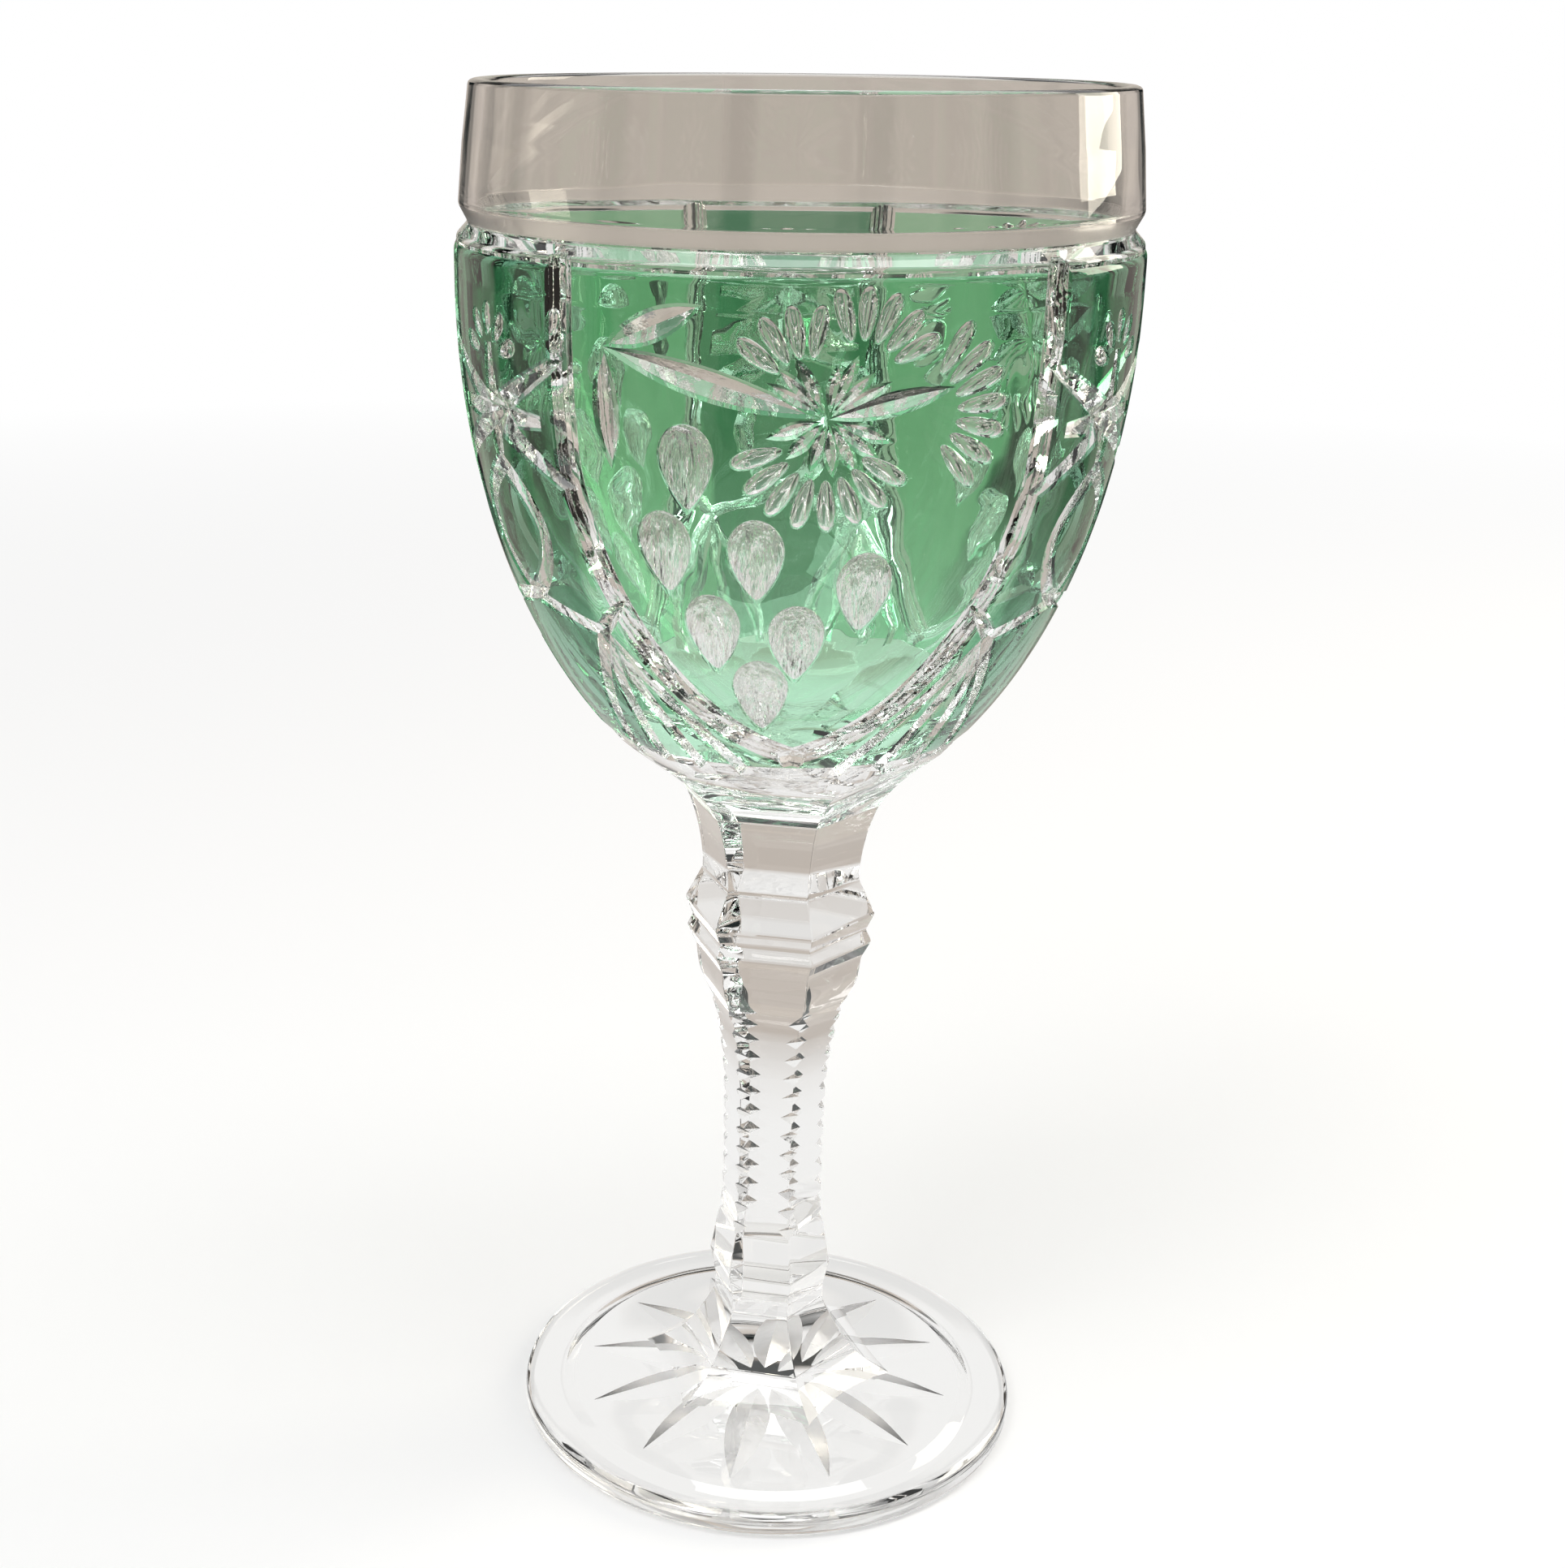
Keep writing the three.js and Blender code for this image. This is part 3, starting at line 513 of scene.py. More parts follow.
def turned(name, profile, steps, turn=0.0, closed=False):
    """Spins a profile of (radius, height) points round the upright axis."""
    points = [level_aim(turn) * radius + Vector((0, 0, height)) for radius, height in profile]
    if closed:
        points.append(points[0])
    bpy.ops.object.select_all(action="DESELECT")
    bpy.ops.mesh.primitive_plane_add(size=MM)
    piece = bpy.context.object
    piece.name = piece.data.name = name
    with editing(piece):
        bpy.ops.mesh.merge(type="CENTER")
        bpy.ops.transform.translate(value=points[0])
        for before, after in zip(points, points[1:]):
            bpy.ops.mesh.extrude_vertices_move(TRANSFORM_OT_translate={"value": after - before})
        bpy.ops.mesh.select_all(action="SELECT")
        bpy.ops.mesh.spin(steps=steps, angle=TURN, center=(0, 0, 0), axis=(0, 0, 1))
        bpy.ops.mesh.select_all(action="SELECT")
        bpy.ops.mesh.remove_doubles(threshold=WELD)
        bpy.ops.mesh.normals_make_consistent(inside=False)
    if sum(face.area * face.center.dot(face.normal) for face in piece.data.polygons) < 0:
        with editing(piece):
            bpy.ops.mesh.flip_normals()
    return piece


def six_sided(name, profile):
    return turned(name, profile, SIDES, math.radians(chosen("stem").turn + TURN_DEGREES / 2 / SIDES))


def soften(profile, radius, steps=3):
    """Rounds the sharp corners of an open profile and keeps the flats beside them flat."""
    points = [Vector(point) for point in profile]
    made = [points[0]]
    for before, corner, after in zip(points, points[1:], points[2:]):
        into, out = corner - before, after - corner
        if into.angle(out) < SOFTENED_FROM:
            made.append(corner)
            continue
        reach = min(radius, into.length * FLAT_SHARE, out.length * FLAT_SHARE)
        start, end = corner - into.normalized() * reach, corner + out.normalized() * reach
        made.append(start - into.normalized() * reach * RUN_UP)
        made += bezier(start, corner, end, steps)
        made.append(end + out.normalized() * reach * RUN_UP)
    made.append(points[-1])
    return made


def bezier(start, control, end, steps):
    """Points of a curve with one control point."""
    start, control, end = Vector(start), Vector(control), Vector(end)
    shares = [i / steps for i in range(steps + 1)]
    return [start.lerp(control, t).lerp(control.lerp(end, t), t) for t in shares]


def spline(points, steps):
    """A smooth curve through all the points."""
    points = [Vector(point) for point in points]
    ends = [2 * points[0] - points[1], *points, 2 * points[-1] - points[-2]]
    made = []
    for a, b, c, d in zip(ends, ends[1:], ends[2:], ends[3:]):
        for i in range(steps):
            t = i / steps
            made.append(0.5 * ((2 * b) + (c - a) * t + (2 * a - 5 * b + 4 * c - d) * t * t
                               + (3 * b - a - 3 * c + d) * t * t * t))
    return [*made, points[-1]]


def smooth(piece, degrees=25):
    """Smooth shading that keeps creases, and large flats flat."""
    only(piece)
    bpy.ops.object.shade_smooth_by_angle(angle=math.radians(degrees))
    apply(piece, "WEIGHTED_NORMAL", mode="FACE_AREA_WITH_ANGLE", keep_sharp=True, weight=60)


def stand_for(piece, slot, *nodes):
    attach(piece, "root")
    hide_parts(*nodes)


def set_finish(piece, index, test):
    """Gives a finish to each face whose middle and normal pass the test."""
    for face in piece.data.polygons:
        if test(face.center, face.normal):
            face.material_index = index


# Places on the cased body

def body_radius(height):
    bowl = chosen("bowl")
    fall = max(0.0, bowl.belly_height - height) / bowl.body_depth
    return bowl.belly_radius * math.sqrt(max(0.0, 1 - fall * fall))


def core_radius(height):
    bowl = chosen("bowl")
    return body_radius(height) - bowl.casing - bowl.casing_gap


def line(part):
    """Height of a marking line, as a share of the cased height."""
    bowl = chosen("bowl")
    return bowl.casing_foot + part * (bowl.shoulder - bowl.casing_foot)


class Spot:
    """A place on the skin, by its angle from the front in degrees and its height."""

    def __init__(self, angle, height):
        self.angle = angle
        self.height = height
        turn = math.radians(angle)
        step = 0.01 * MM
        radius = body_radius(height)
        slope = (body_radius(height + step) - body_radius(height - step)) / (2 * step)
        self.point = Vector((radius * math.sin(turn), -radius * math.cos(turn), height))
        self.outward = Vector((math.sin(turn), -math.cos(turn), -slope)).normalized()

    def beside(self, across, up):
        height = self.height + up
        return Spot(self.angle + math.degrees(across / body_radius(height)), height)

    def towards(self, other, part):
        return Spot(
            self.angle + (other.angle - self.angle) * part,
            self.height + (other.height - self.height) * part,
        )


# Cutting wheels

CUTTER_LIFT = 0.8 * MM  # how far a cutter stands out of the skin
OLIVE_ANGLES = (0, 26, 52, 78)
FLUTES = [(0, -1), (0.2, -0.74), (0.3, -0.84), (0.52, -0.44), (0.62, -0.54), (0.95, -0.05)]
BLADE_RUN_OUT = 0.8  # how far a blade's cutter rises past its ends, as a share of the lift
PETAL_ENDS = 0.985
PETAL_SIDES = 0.45
PETAL_MIDDLE_WIDTH = 0.82
BARS = {}


def bar(rings, corners):
    """A bar with that many rings and corners. One is modelled for each kind and then copied."""
    if (rings, corners) not in BARS:
        bpy.ops.object.select_all(action="DESELECT")
        bpy.ops.mesh.primitive_circle_add(vertices=corners, radius=1, fill_type="NGON")
        BARS[rings, corners] = bpy.context.object
        with editing(bpy.context.object):
            for _ in range(rings - 1):
                bpy.ops.mesh.extrude_region_move(TRANSFORM_OT_translate={"value": (0, 0, 1)})
            bpy.ops.mesh.select_all(action="SELECT")
            bpy.ops.mesh.normals_make_consistent(inside=False)
    return copy_of(BARS[rings, corners])


def clear_bars():
    """Takes the blanks away once their copies are made."""
    for blank in BARS.values():
        remove(blank)
    BARS.clear()


def whole_section(right):
    """Mirrors the right half of a wheel's edge, from its lowest point up to the lid, to the left."""
    left = [(-across, up) for across, up in right[::-1] if across > 0]
    return [*right, *left]


def v_edge(half, depth):
    """A mitre wheel: two flat sides that meet in a line."""
    return whole_section([(0, -depth), ((depth + CUTTER_LIFT) * half / depth, CUTTER_LIFT)])


def round_edge(half, depth):
    """An olive wheel: a hollow section."""
    turns = [math.radians(angle) for angle in OLIVE_ANGLES]
    hollow = [(half * math.sin(turn), -depth * math.cos(turn)) for turn in turns]
    return whole_section([*hollow, (half, CUTTER_LIFT)])


def fluted_edge(half, depth):
    """A mitre wheel with fine steps, which leave parallel lines."""
    lid = (half * (1 + CUTTER_LIFT / depth), CUTTER_LIFT)
    return whole_section([*[(half * across, depth * up) for across, up in FLUTES], lid])


def groove(stations, edge=v_edge, finish="wheel_cut"):
    """The path of a wheel. Its stations are (point, outward, half width, depth)."""
    points = [point for point, _, _, _ in stations]
    rings = []
    for i, (point, outward, half, depth) in enumerate(stations):
        along = points[min(i + 1, len(points) - 1)] - points[max(i - 1, 0)]
        across = outward.cross(along).normalized()
        rings.append([point + across * x + outward * y for x, y in edge(half, depth)])
    corners = len(rings[0])
    cutter = bar(len(rings), corners)
    for vertex in cutter.data.vertices:
        x, y, z = vertex.co
        corner = round((math.atan2(-x, y) % TURN) / (TURN / corners)) % corners
        vertex.co = rings[round(z)][corner]
    give_finishes(cutter, finish)
    return cutter


def on_skin(spots, halves, depths):
    return [(spot.point, spot.outward, half, depth) for spot, half, depth in zip(spots, halves, depths)]


def blade(start, end, half, depth, rings):
    """A V cut that is pointed at both ends and deepest in its middle."""
    run_out = math.sqrt(1 + BLADE_RUN_OUT * CUTTER_LIFT / depth)
    shares = [run_out * (2 * i / (rings - 1) - 1) for i in range(rings)]
    spots = [start.towards(end, 0.5 + 0.5 * t) for t in shares]
    depths = [depth * (1 - t * t) for t in shares]

    def section(_, here):
        return whole_section([(0, -here), ((here + CUTTER_LIFT) * half / depth, CUTTER_LIFT)])

    return groove(on_skin(spots, depths, depths), section)


def petal(start, end, half, depth, rings=11):
    """A hollow cut with round ends, fuller at its outer one."""
    shares = [-PETAL_ENDS * math.cos(math.pi * i / (rings - 1)) for i in range(rings)]
    spots = [start.towards(end, 0.5 + 0.5 * t) for t in shares]
    fullness = [PETAL_MIDDLE_WIDTH + (1 - PETAL_MIDDLE_WIDTH) * t for t in shares]
    halves = [half * (1 - t * t) ** PETAL_SIDES * full for t, full in zip(shares, fullness)]
    depths = [depth * (1 - t * t) ** 0.5 for t in shares]
    return groove(on_skin(spots, halves, depths), round_edge)


def mitre(spots, half, depth, edge=v_edge):
    """A cut of one depth from end to end."""
    return groove(on_skin(spots, [half] * len(spots), [depth] * len(spots)), edge)


def straight(start, end, rings):
    return [start.towards(end, i / (rings - 1)) for i in range(rings)]


# The pattern of one panel and of one column

# Angles are in degrees, from the middle of a panel or column, and in a lobe or fan round its own middle.
# A line is a share of the cased height, and the leaf's x and y are shares of its reach.
BORDER_STRAIGHT_LINE = 0.632
BORDER_OVERRUN = 3 * MM
SHIELD_TIP_LINE = 0.03
SHIELD_TIP_OVERRUN_ANGLE = 4
SHIELD_TIP_OVERRUN = 0.6 * MM
SHIELD_CURVE_ANGLE = 36
SHIELD_CURVE_LINE = 0.127
LEAF_HUB = (3, 0.75)
LEAF_LOBES = [
    # x, y, first angle, last angle, petals, inner reach, outer reach
    (-0.24, 0.27, 144, 81, 4, 0.36, 0.94),
    (0.32, 0.42, 105, 27, 5, 0.4, 0.98),
    (0.95, 0.05, 57, -48, 7, 0.48, 1.14),
    (-0.03, -0.2, 198, 331, 8, 0.46, 1.06),
]
LEAF_VEINS = [
    # length along the vein at which it starts, x and y of its end
    (0.06, -0.6, 0.56), (0.1, -0.38, 0.66), (0.1, -0.68, 0.38),
    (0.06, 0.48, 0.5), (0.1, 0.3, 0.68), (0.1, 0.68, 0.4), (0.12, 0.1, 0.6),
    (0.08, 0.58, -0.46), (0.1, 0.34, -0.6), (0.12, 0.72, -0.26),
    (0.1, -0.44, -0.44), (0.1, -0.18, -0.58), (0.12, -0.66, -0.22), (0.1, 0.08, -0.64),
]
LEAF_BLADE = (1.4, 0.32)
LEAF_BLADE_WIDTH = 0.75
VEIN_DEPTH = 0.8
BLADE_KNOT = (-2.54, 0.66)
BLADE_TIPS = [(-0.08, 0.01), (-1.37, 1.16), (-2.42, -0.68)]
GRAPES = [
    # angle, line
    (-18.8, 0.67), (-23.3, 0.503), (-7.7, 0.497), (10.8, 0.435),
    (-15.9, 0.342), (-0.5, 0.327), (-7.4, 0.206),
]
GRAPE_RAISED = 0.35 * MM
GRAPE_TAPER = 1.7
GRAPE_OVERSIZE = 1.04
GRAPE_EDGE_DEPTH = 0.35
GRAPE_POLE = 0.999
COLUMN_MIDDLE = 180 / PANELS
STAR_LINE = 0.7
STAR_REACH_UP = 8 * MM
STAR_REACH_SIDE = 14
STAR_DIAGONAL = 0.126
STAR_OVERRUN = 0.06
STAR_RINGS = 9
CROWN_FAN_LINE = 0.801
CROWN_FAN = (0, 0, 20, 160, 5, 0.4, 1.0)
CROWN_FAN_REACH = 6.6 * MM
OVAL_LINE = 0.464
OVAL_HALF = 0.135
OVAL_BULGE = 9.5
OVAL_RINGS = 13
HUB_ANGLE = 19
HUB_LINE = 0.287
BORDER_ARM_LINE = 0.354
FAN_FOOT_LINE = 0.008
FAN_FOOT_ANGLES = [8, 20, 32, 44]
FAN_FOOT_OVERRUN = 1.12
FAN_HUB_OVERRUN = 0.03


def shield_curve(steps):
    cuts = chosen("cuts")
    return bezier(
        (cuts.border_angle, line(BORDER_STRAIGHT_LINE)),
        (SHIELD_CURVE_ANGLE, line(SHIELD_CURVE_LINE)),
        (0, line(SHIELD_TIP_LINE)),
        steps,
    )


def border_angle_at(height):
    """Angle of the border at a height, found on the shield's curve."""
    curve = shield_curve(steps=80)
    for before, after in zip(curve, curve[1:]):
        if after.y <= height <= before.y:
            along = (before.y - height) / (before.y - after.y)
            return before.x + (after.x - before.x) * along
    return curve[0].x


def border(side):
    """One side of a shield's clear border, down to its tip and a little past it."""
    cuts = chosen("cuts")
    top = Spot(side * cuts.border_angle, chosen("bowl").shoulder + BORDER_OVERRUN)
    knee = Spot(side * cuts.border_angle, line(BORDER_STRAIGHT_LINE))
    curve = [Spot(side * point.x, point.y) for point in shield_curve(steps=28)]
    overrun = Spot(-side * SHIELD_TIP_OVERRUN_ANGLE, line(SHIELD_TIP_LINE) - SHIELD_TIP_OVERRUN)
    spots = [*straight(top, knee, rings=8)[:-1], *curve, overrun]
    return mitre(spots, cuts.border_half, cuts.border_depth, fluted_edge)


def petals(hub, lobe, reach):
    """Petals side by side, as in a lobe of the leaf or in the fan of a crown."""
    cuts = chosen("cuts")
    x, y, first, last, count, inner, outer = lobe
    made = []
    for i in range(count):
        angle = math.radians(first + (last - first) * i / (count - 1))
        ends = [hub.beside(reach * (x + part * math.cos(angle)), reach * (y + part * math.sin(angle)))
                for part in (inner, outer)]
        made.append(petal(*ends, cuts.petal_half, cuts.petal_depth))
    return made


def leaf():
    cuts = chosen("cuts")
    hub = Spot(LEAF_HUB[0], line(LEAF_HUB[1]))

    def seat(spot):
        return hub.beside(cuts.leaf_reach * spot[0], cuts.leaf_reach * spot[1])

    knot = seat(BLADE_KNOT)
    vein_depth = cuts.petal_depth * VEIN_DEPTH
    made = [cut for lobe in LEAF_LOBES for cut in petals(hub, lobe, cuts.leaf_reach)]
    for start, *end in LEAF_VEINS:
        made.append(blade(hub.towards(seat(end), start), seat(end), cuts.vein_half, vein_depth, rings=9))
    half, depth = cuts.blade_half, cuts.blade_depth
    made.append(blade(hub, seat(LEAF_BLADE), half * LEAF_BLADE_WIDTH, depth, rings=15))
    made += [blade(knot, seat(end), half, depth, rings=17) for end in BLADE_TIPS]
    return made


def grape(angle, part):
    """A round lens with a pointed lower end, sunk a little way under the skin."""
    cuts = chosen("cuts")
    middle = Spot(angle, line(part))
    bpy.ops.object.select_all(action="DESELECT")
    bpy.ops.mesh.primitive_uv_sphere_add(segments=40, ring_count=24, radius=1)
    cutter = bpy.context.object
    for vertex in cutter.data.vertices:
        x, out, y = vertex.co
        drop = max(0.0, -y)
        up = y * (cuts.grape_tip if drop else cuts.grape_top)
        width = (1 - drop ** GRAPE_TAPER) / math.sqrt(1 - drop * drop) if drop < GRAPE_POLE else 0.0
        spot = middle.beside(x * width * cuts.grape_half * GRAPE_OVERSIZE, up)
        fullness = GRAPE_EDGE_DEPTH + (1 - GRAPE_EDGE_DEPTH) * min(width, 1.0)
        depth = out * (cuts.grape_depth + GRAPE_RAISED) * fullness
        vertex.co = spot.point + spot.outward * (GRAPE_RAISED + depth)
    with editing(cutter):
        bpy.ops.mesh.normals_make_consistent(inside=False)
    give_finishes(cutter, "ground_lens")
    return cutter


def in_column(angle, height):
    return Spot(COLUMN_MIDDLE + angle, height)


def column_edge(height):
    return COLUMN_MIDDLE - border_angle_at(height)


def star_arm(end):
    """One arm of the star, deep at the hub and shallow at its end."""
    cuts = chosen("cuts")
    hub = in_column(0, line(STAR_LINE))
    spots = [hub.towards(end, -STAR_OVERRUN), *straight(hub, end, STAR_RINGS)]
    near, far = cuts.star_depth, cuts.star_end_depth
    depths = [near, *[near + (far - near) * i / (STAR_RINGS - 1) for i in range(STAR_RINGS)]]
    return groove(on_skin(spots, [cuts.star_half * depth / near for depth in depths], depths))


def star():
    bowl = chosen("bowl")
    middle = line(STAR_LINE)
    rise = STAR_DIAGONAL * (bowl.shoulder - bowl.casing_foot)
    high, low = middle + rise, middle - rise
    ends = [in_column(side * column_edge(height), height) for side in (-1, 1) for height in (high, low)]
    ends += [in_column(side * STAR_REACH_SIDE, middle) for side in (-1, 1)]
    ends += [in_column(0, middle + STAR_REACH_UP), in_column(0, line(OVAL_LINE + OVAL_HALF) - MM)]
    return [star_arm(end) for end in ends]


def oval_cut(side):
    """One of the two bowed cuts that frame the oval."""
    cuts = chosen("cuts")
    spots = []
    for i in range(OVAL_RINGS):
        along = 1 - 2 * i / (OVAL_RINGS - 1)
        height = line(OVAL_LINE + along * OVAL_HALF)
        spots.append(in_column(side * OVAL_BULGE * (1 - along * along), height))
    return mitre(spots, cuts.oval_half, cuts.oval_depth)


def fan(side):
    """Arms that spread from a hub beside the oval, down, inwards and to the border."""
    cuts = chosen("cuts")
    hub = in_column(side * HUB_ANGLE, line(HUB_LINE))
    border_end = line(BORDER_ARM_LINE)
    feet = [in_column(side * angle, line(FAN_FOOT_LINE)) for angle in FAN_FOOT_ANGLES]
    ends = [hub.towards(foot, FAN_FOOT_OVERRUN) for foot in feet]
    ends += [in_column(0, line(OVAL_LINE - OVAL_HALF)), in_column(side * column_edge(border_end), border_end)]
    arms = [straight(hub.towards(end, -FAN_HUB_OVERRUN), end, rings=9) for end in ends]
    return [mitre(arm, cuts.fan_half, cuts.fan_depth) for arm in arms]


def crown_fan():
    return petals(in_column(0, line(CROWN_FAN_LINE)), CROWN_FAN, CROWN_FAN_REACH)


CUT_PATTERN = "cut_pattern"


class GOBLET_OT_cut_pattern(bpy.types.Operator):
    """Makes the wheels' paths of all panels and columns as one cutter"""

    bl_idname = "goblet.cut_pattern"
    bl_label = "Lay out the cuts"

    def execute(self, context):
        grapes = [grape(*spot) for spot in GRAPES]
        columns = [*star(), oval_cut(1), oval_cut(-1), *fan(1), *fan(-1), *crown_fan()]
        sector = union([border(1), border(-1), *leaf(), *grapes, *columns])
        turns = [Matrix.Rotation(TURN / PANELS * i, 4, "Z") for i in range(1, PANELS)]
        whole = union([sector, *[copy_of(sector, turn) for turn in turns]])
        whole.name = CUT_PATTERN
        clear_bars()
        return {"FINISHED"}


# Crystal bowl

BLANK_SWELL = 2.4
BLANK_SWELL_RISE = 0.3
BLANK_DRAWS_IN_RISE = 0.72
LEDGE_SOFTNESS = 0.35 * MM
LEDGE_RISE = 0.6 * MM
LIP_STEPS = 8
BAND_INSIDE_RISE = 0.5 * MM
BAND_PARTS = (0.02, 0.2, 0.4, 0.6, 0.8)
BEND_SHARE = 0.55
INSIDE_RINGS = 40
SKIN_RINGS = 44
SKIN_TOLERANCE = 0.1 * MM
LEDGE_SLOPE = 0.2


def blank_curve():
    """Outer curve of the blank under the casing. The six-sided flare is ground out of it."""
    bowl = chosen("bowl")
    rise = bowl.casing_foot - GLASS_BASE
    middle = GLASS_BASE + rise / 2
    upper = GLASS_BASE + BLANK_DRAWS_IN_RISE * rise
    made = bezier(
        (bowl.neck_radius + bowl.allowance, GLASS_BASE),
        (bowl.neck_radius + BLANK_SWELL * bowl.allowance, GLASS_BASE + BLANK_SWELL_RISE * rise),
        (core_radius(middle) + bowl.allowance, middle),
        steps=6,
    )
    made += bezier(
        made[-1],
        (core_radius(upper) + 0.5 * bowl.allowance, upper),
        (core_radius(bowl.casing_foot), bowl.casing_foot),
        steps=6,
    )[1:]
    return made


def skin_heights():
    """Rings of the skin, closer together where it curves faster."""
    bowl = chosen("bowl")
    start = math.acos((bowl.belly_height - bowl.casing_foot) / bowl.body_depth)
    turns = [start + (math.pi / 2 - start) * i / SKIN_RINGS for i in range(SKIN_RINGS + 1)]
    heights = [bowl.belly_height - bowl.body_depth * math.cos(turn) for turn in turns]
    return [*heights, bowl.shoulder - bowl.shoulder_chamfer]


def band_radii():
    """Outer radii of the rim band, at its lower edge and at the rim."""
    bowl = chosen("bowl")
    foot = bowl.belly_radius - bowl.band_setback
    return foot, foot - bowl.rim_taper


def rim_band():
    """The step over the casing, the plain band and the fire-polished lip."""
    bowl = chosen("bowl")
    foot, rim = band_radii()
    middle = ((foot + rim) / 2 + bowl.band_bulge, (bowl.band_foot + GLASS_TOP) / 2)
    ledge = soften([
        (core_radius(bowl.shoulder), bowl.shoulder - MM),
        (core_radius(bowl.shoulder), bowl.shoulder + LEDGE_RISE),
        (foot - bowl.ledge_groove, (bowl.shoulder + bowl.band_foot) / 2),
        (foot, bowl.band_foot),
        middle,
    ], LEDGE_SOFTNESS)
    band = bezier(
        middle,
        (rim + 0.5 * bowl.rim_taper / 2, GLASS_TOP - (GLASS_TOP - middle[1]) / 2),
        (rim, GLASS_TOP - bowl.rim_round),
        steps=8,
    )[1:]
    band.insert(-1, band[-1].lerp(band[-2], 0.15))
    lip = []
    for i in range(1, LIP_STEPS + 1):
        turn = math.pi * i / LIP_STEPS
        radius = rim - bowl.rim_wall / 2 * (1 - math.cos(turn))
        lip.append((radius, GLASS_TOP - bowl.rim_round * (1 - math.sin(turn))))
    return [*ledge[1:], *band, *lip]


def inner_wall():
    """The inside from the lip down: parallel to the band, then a soft bend, then half an ellipse."""
    bowl = chosen("bowl")
    foot, rim = band_radii()
    radius = bowl.belly_radius - bowl.casing - bowl.wall
    depth = bowl.body_depth - bowl.floor
    lip_end = Vector((rim - bowl.rim_wall, GLASS_TOP - bowl.rim_round))
    band_inside = Vector((foot - bowl.band_wall, bowl.band_foot + BAND_INSIDE_RISE))
    bend = spline([
        band_inside,
        (
            band_inside.x * BEND_SHARE + radius * (1 - BEND_SHARE),
            bowl.band_foot * BEND_SHARE + bowl.belly_height * (1 - BEND_SHARE),
        ),
        (radius, bowl.belly_height),
    ], steps=6)
    turns = [math.pi / 2 * (1 - i / INSIDE_RINGS) for i in range(INSIDE_RINGS + 1)]
    cup = [(radius * math.sin(turn), bowl.belly_height - depth * math.cos(turn)) for turn in turns]
    return [*[lip_end.lerp(band_inside, part) for part in BAND_PARTS], *bend[:-1], *cup]


def crystal_profile():
    """Half section of the clear bowl, from its base up the outside and down the inside."""
    skin = [(core_radius(height), height) for height in skin_heights()[1:]]
    return [(0, GLASS_BASE), *blank_curve(), *skin, *rim_band(), *inner_wall()]


def calyx_sides():
    """The six flats that are ground round the underside of the bowl."""
    bowl = chosen("bowl")
    wide = bowl.belly_radius * 2
    top = GLASS_TOP + MM
    leaves = GLASS_BASE + bowl.calyx_rise
    flare = bezier(
        (bowl.neck_radius, GLASS_BASE),
        (bowl.calyx_radius, GLASS_BASE + bowl.calyx_height),
        (bowl.calyx_reach, leaves),
        steps=14,
    )
    sides = six_sided("calyx_sides", [(0, GLASS_BASE), *flare, (wide, leaves), (wide, top), (0, top)])
    give_finishes(sides, "clear_glass")
    return sides


class GOBLET_OT_crystal_bowl(bpy.types.Operator):
    """Makes the clear bowl: turned, ground to six sides below and cut through its skin"""

    bl_idname = "goblet.crystal_bowl"
    bl_label = "Crystal bowl"

    def execute(self, context):
        bowl = chosen("bowl")
        piece = turned("bowl_of_crystal", crystal_profile(), bowl.segments)
        give_finishes(piece, "clear_glass", "bond", "soft_polish")

        def cased(middle, normal):
            inside = bowl.casing_foot < middle.z < bowl.shoulder
            return inside and abs(middle.xy.length - core_radius(middle.z)) < SKIN_TOLERANCE

        def ledge(middle, normal):
            outside = middle.xy.length > bowl.belly_radius - 2 * MM
            overhang = normal.z < -LEDGE_SLOPE
            return outside and overhang and bowl.shoulder < middle.z < bowl.band_foot

        def base(middle, normal):
            return normal.z < -LEVEL and middle.z < GLASS_BASE + 2 * HAIR

        set_finish(piece, 1, cased)
        set_finish(piece, 2, ledge)
        combine(piece, calyx_sides(), "INTERSECT")
        combine(piece, bpy.data.objects[CUT_PATTERN], "DIFFERENCE", keep=True)
        set_finish(piece, 1, base)
        smooth(piece)
        stand_for(piece, "clear_crystal", "crystal_bowl")
        return {"FINISHED"}


# Green casing

CASING_FOOT_EDGE = 0.12 * MM
BEVEL_BOW = 0.3
INNER_SIDE = 0.7


def casing_profile():
    """Closed section of the casing: up its skin, over its bevelled edge and down its inner side."""
    bowl = chosen("bowl")
    heights = skin_heights()
    outer = [(body_radius(height), height) for height in heights]
    inner = [(body_radius(height) - bowl.casing, height) for height in heights]
    outer[0] = (inner[0][0] + CASING_FOOT_EDGE, heights[0])
    top = body_radius(bowl.shoulder)
    bevel = bezier(
        outer[-1],
        (top, bowl.shoulder - BEVEL_BOW * bowl.shoulder_chamfer),
        (top - bowl.shoulder_setback, bowl.shoulder),
        steps=4,
    )
    return [*outer, *bevel[1:], (top - bowl.casing, bowl.shoulder), *inner[::-1]]


def nearest_node(piece):
    """The casing node whose box lies nearest to the piece's own."""
    corners = [Vector(corner) for corner in piece.bound_box]
    middle = sum(corners, Vector()) / len(corners)
    return min(GREEN_NODES, key=lambda name: (sum(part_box(name), Vector()) / 2 - middle).length)


def islands(piece):
    """Takes the cut casing apart and lists the chips that belong to each node."""
    with editing(piece):
        bpy.ops.mesh.separate(type="LOOSE")
    chips = {}
    for chip in list(bpy.context.selected_objects):
        chips.setdefault(nearest_node(chip), []).append(chip)
    missing = set(GREEN_NODES) - set(chips)
    if missing:
        raise RuntimeError(f"no casing was left for {sorted(missing)}")
    return chips


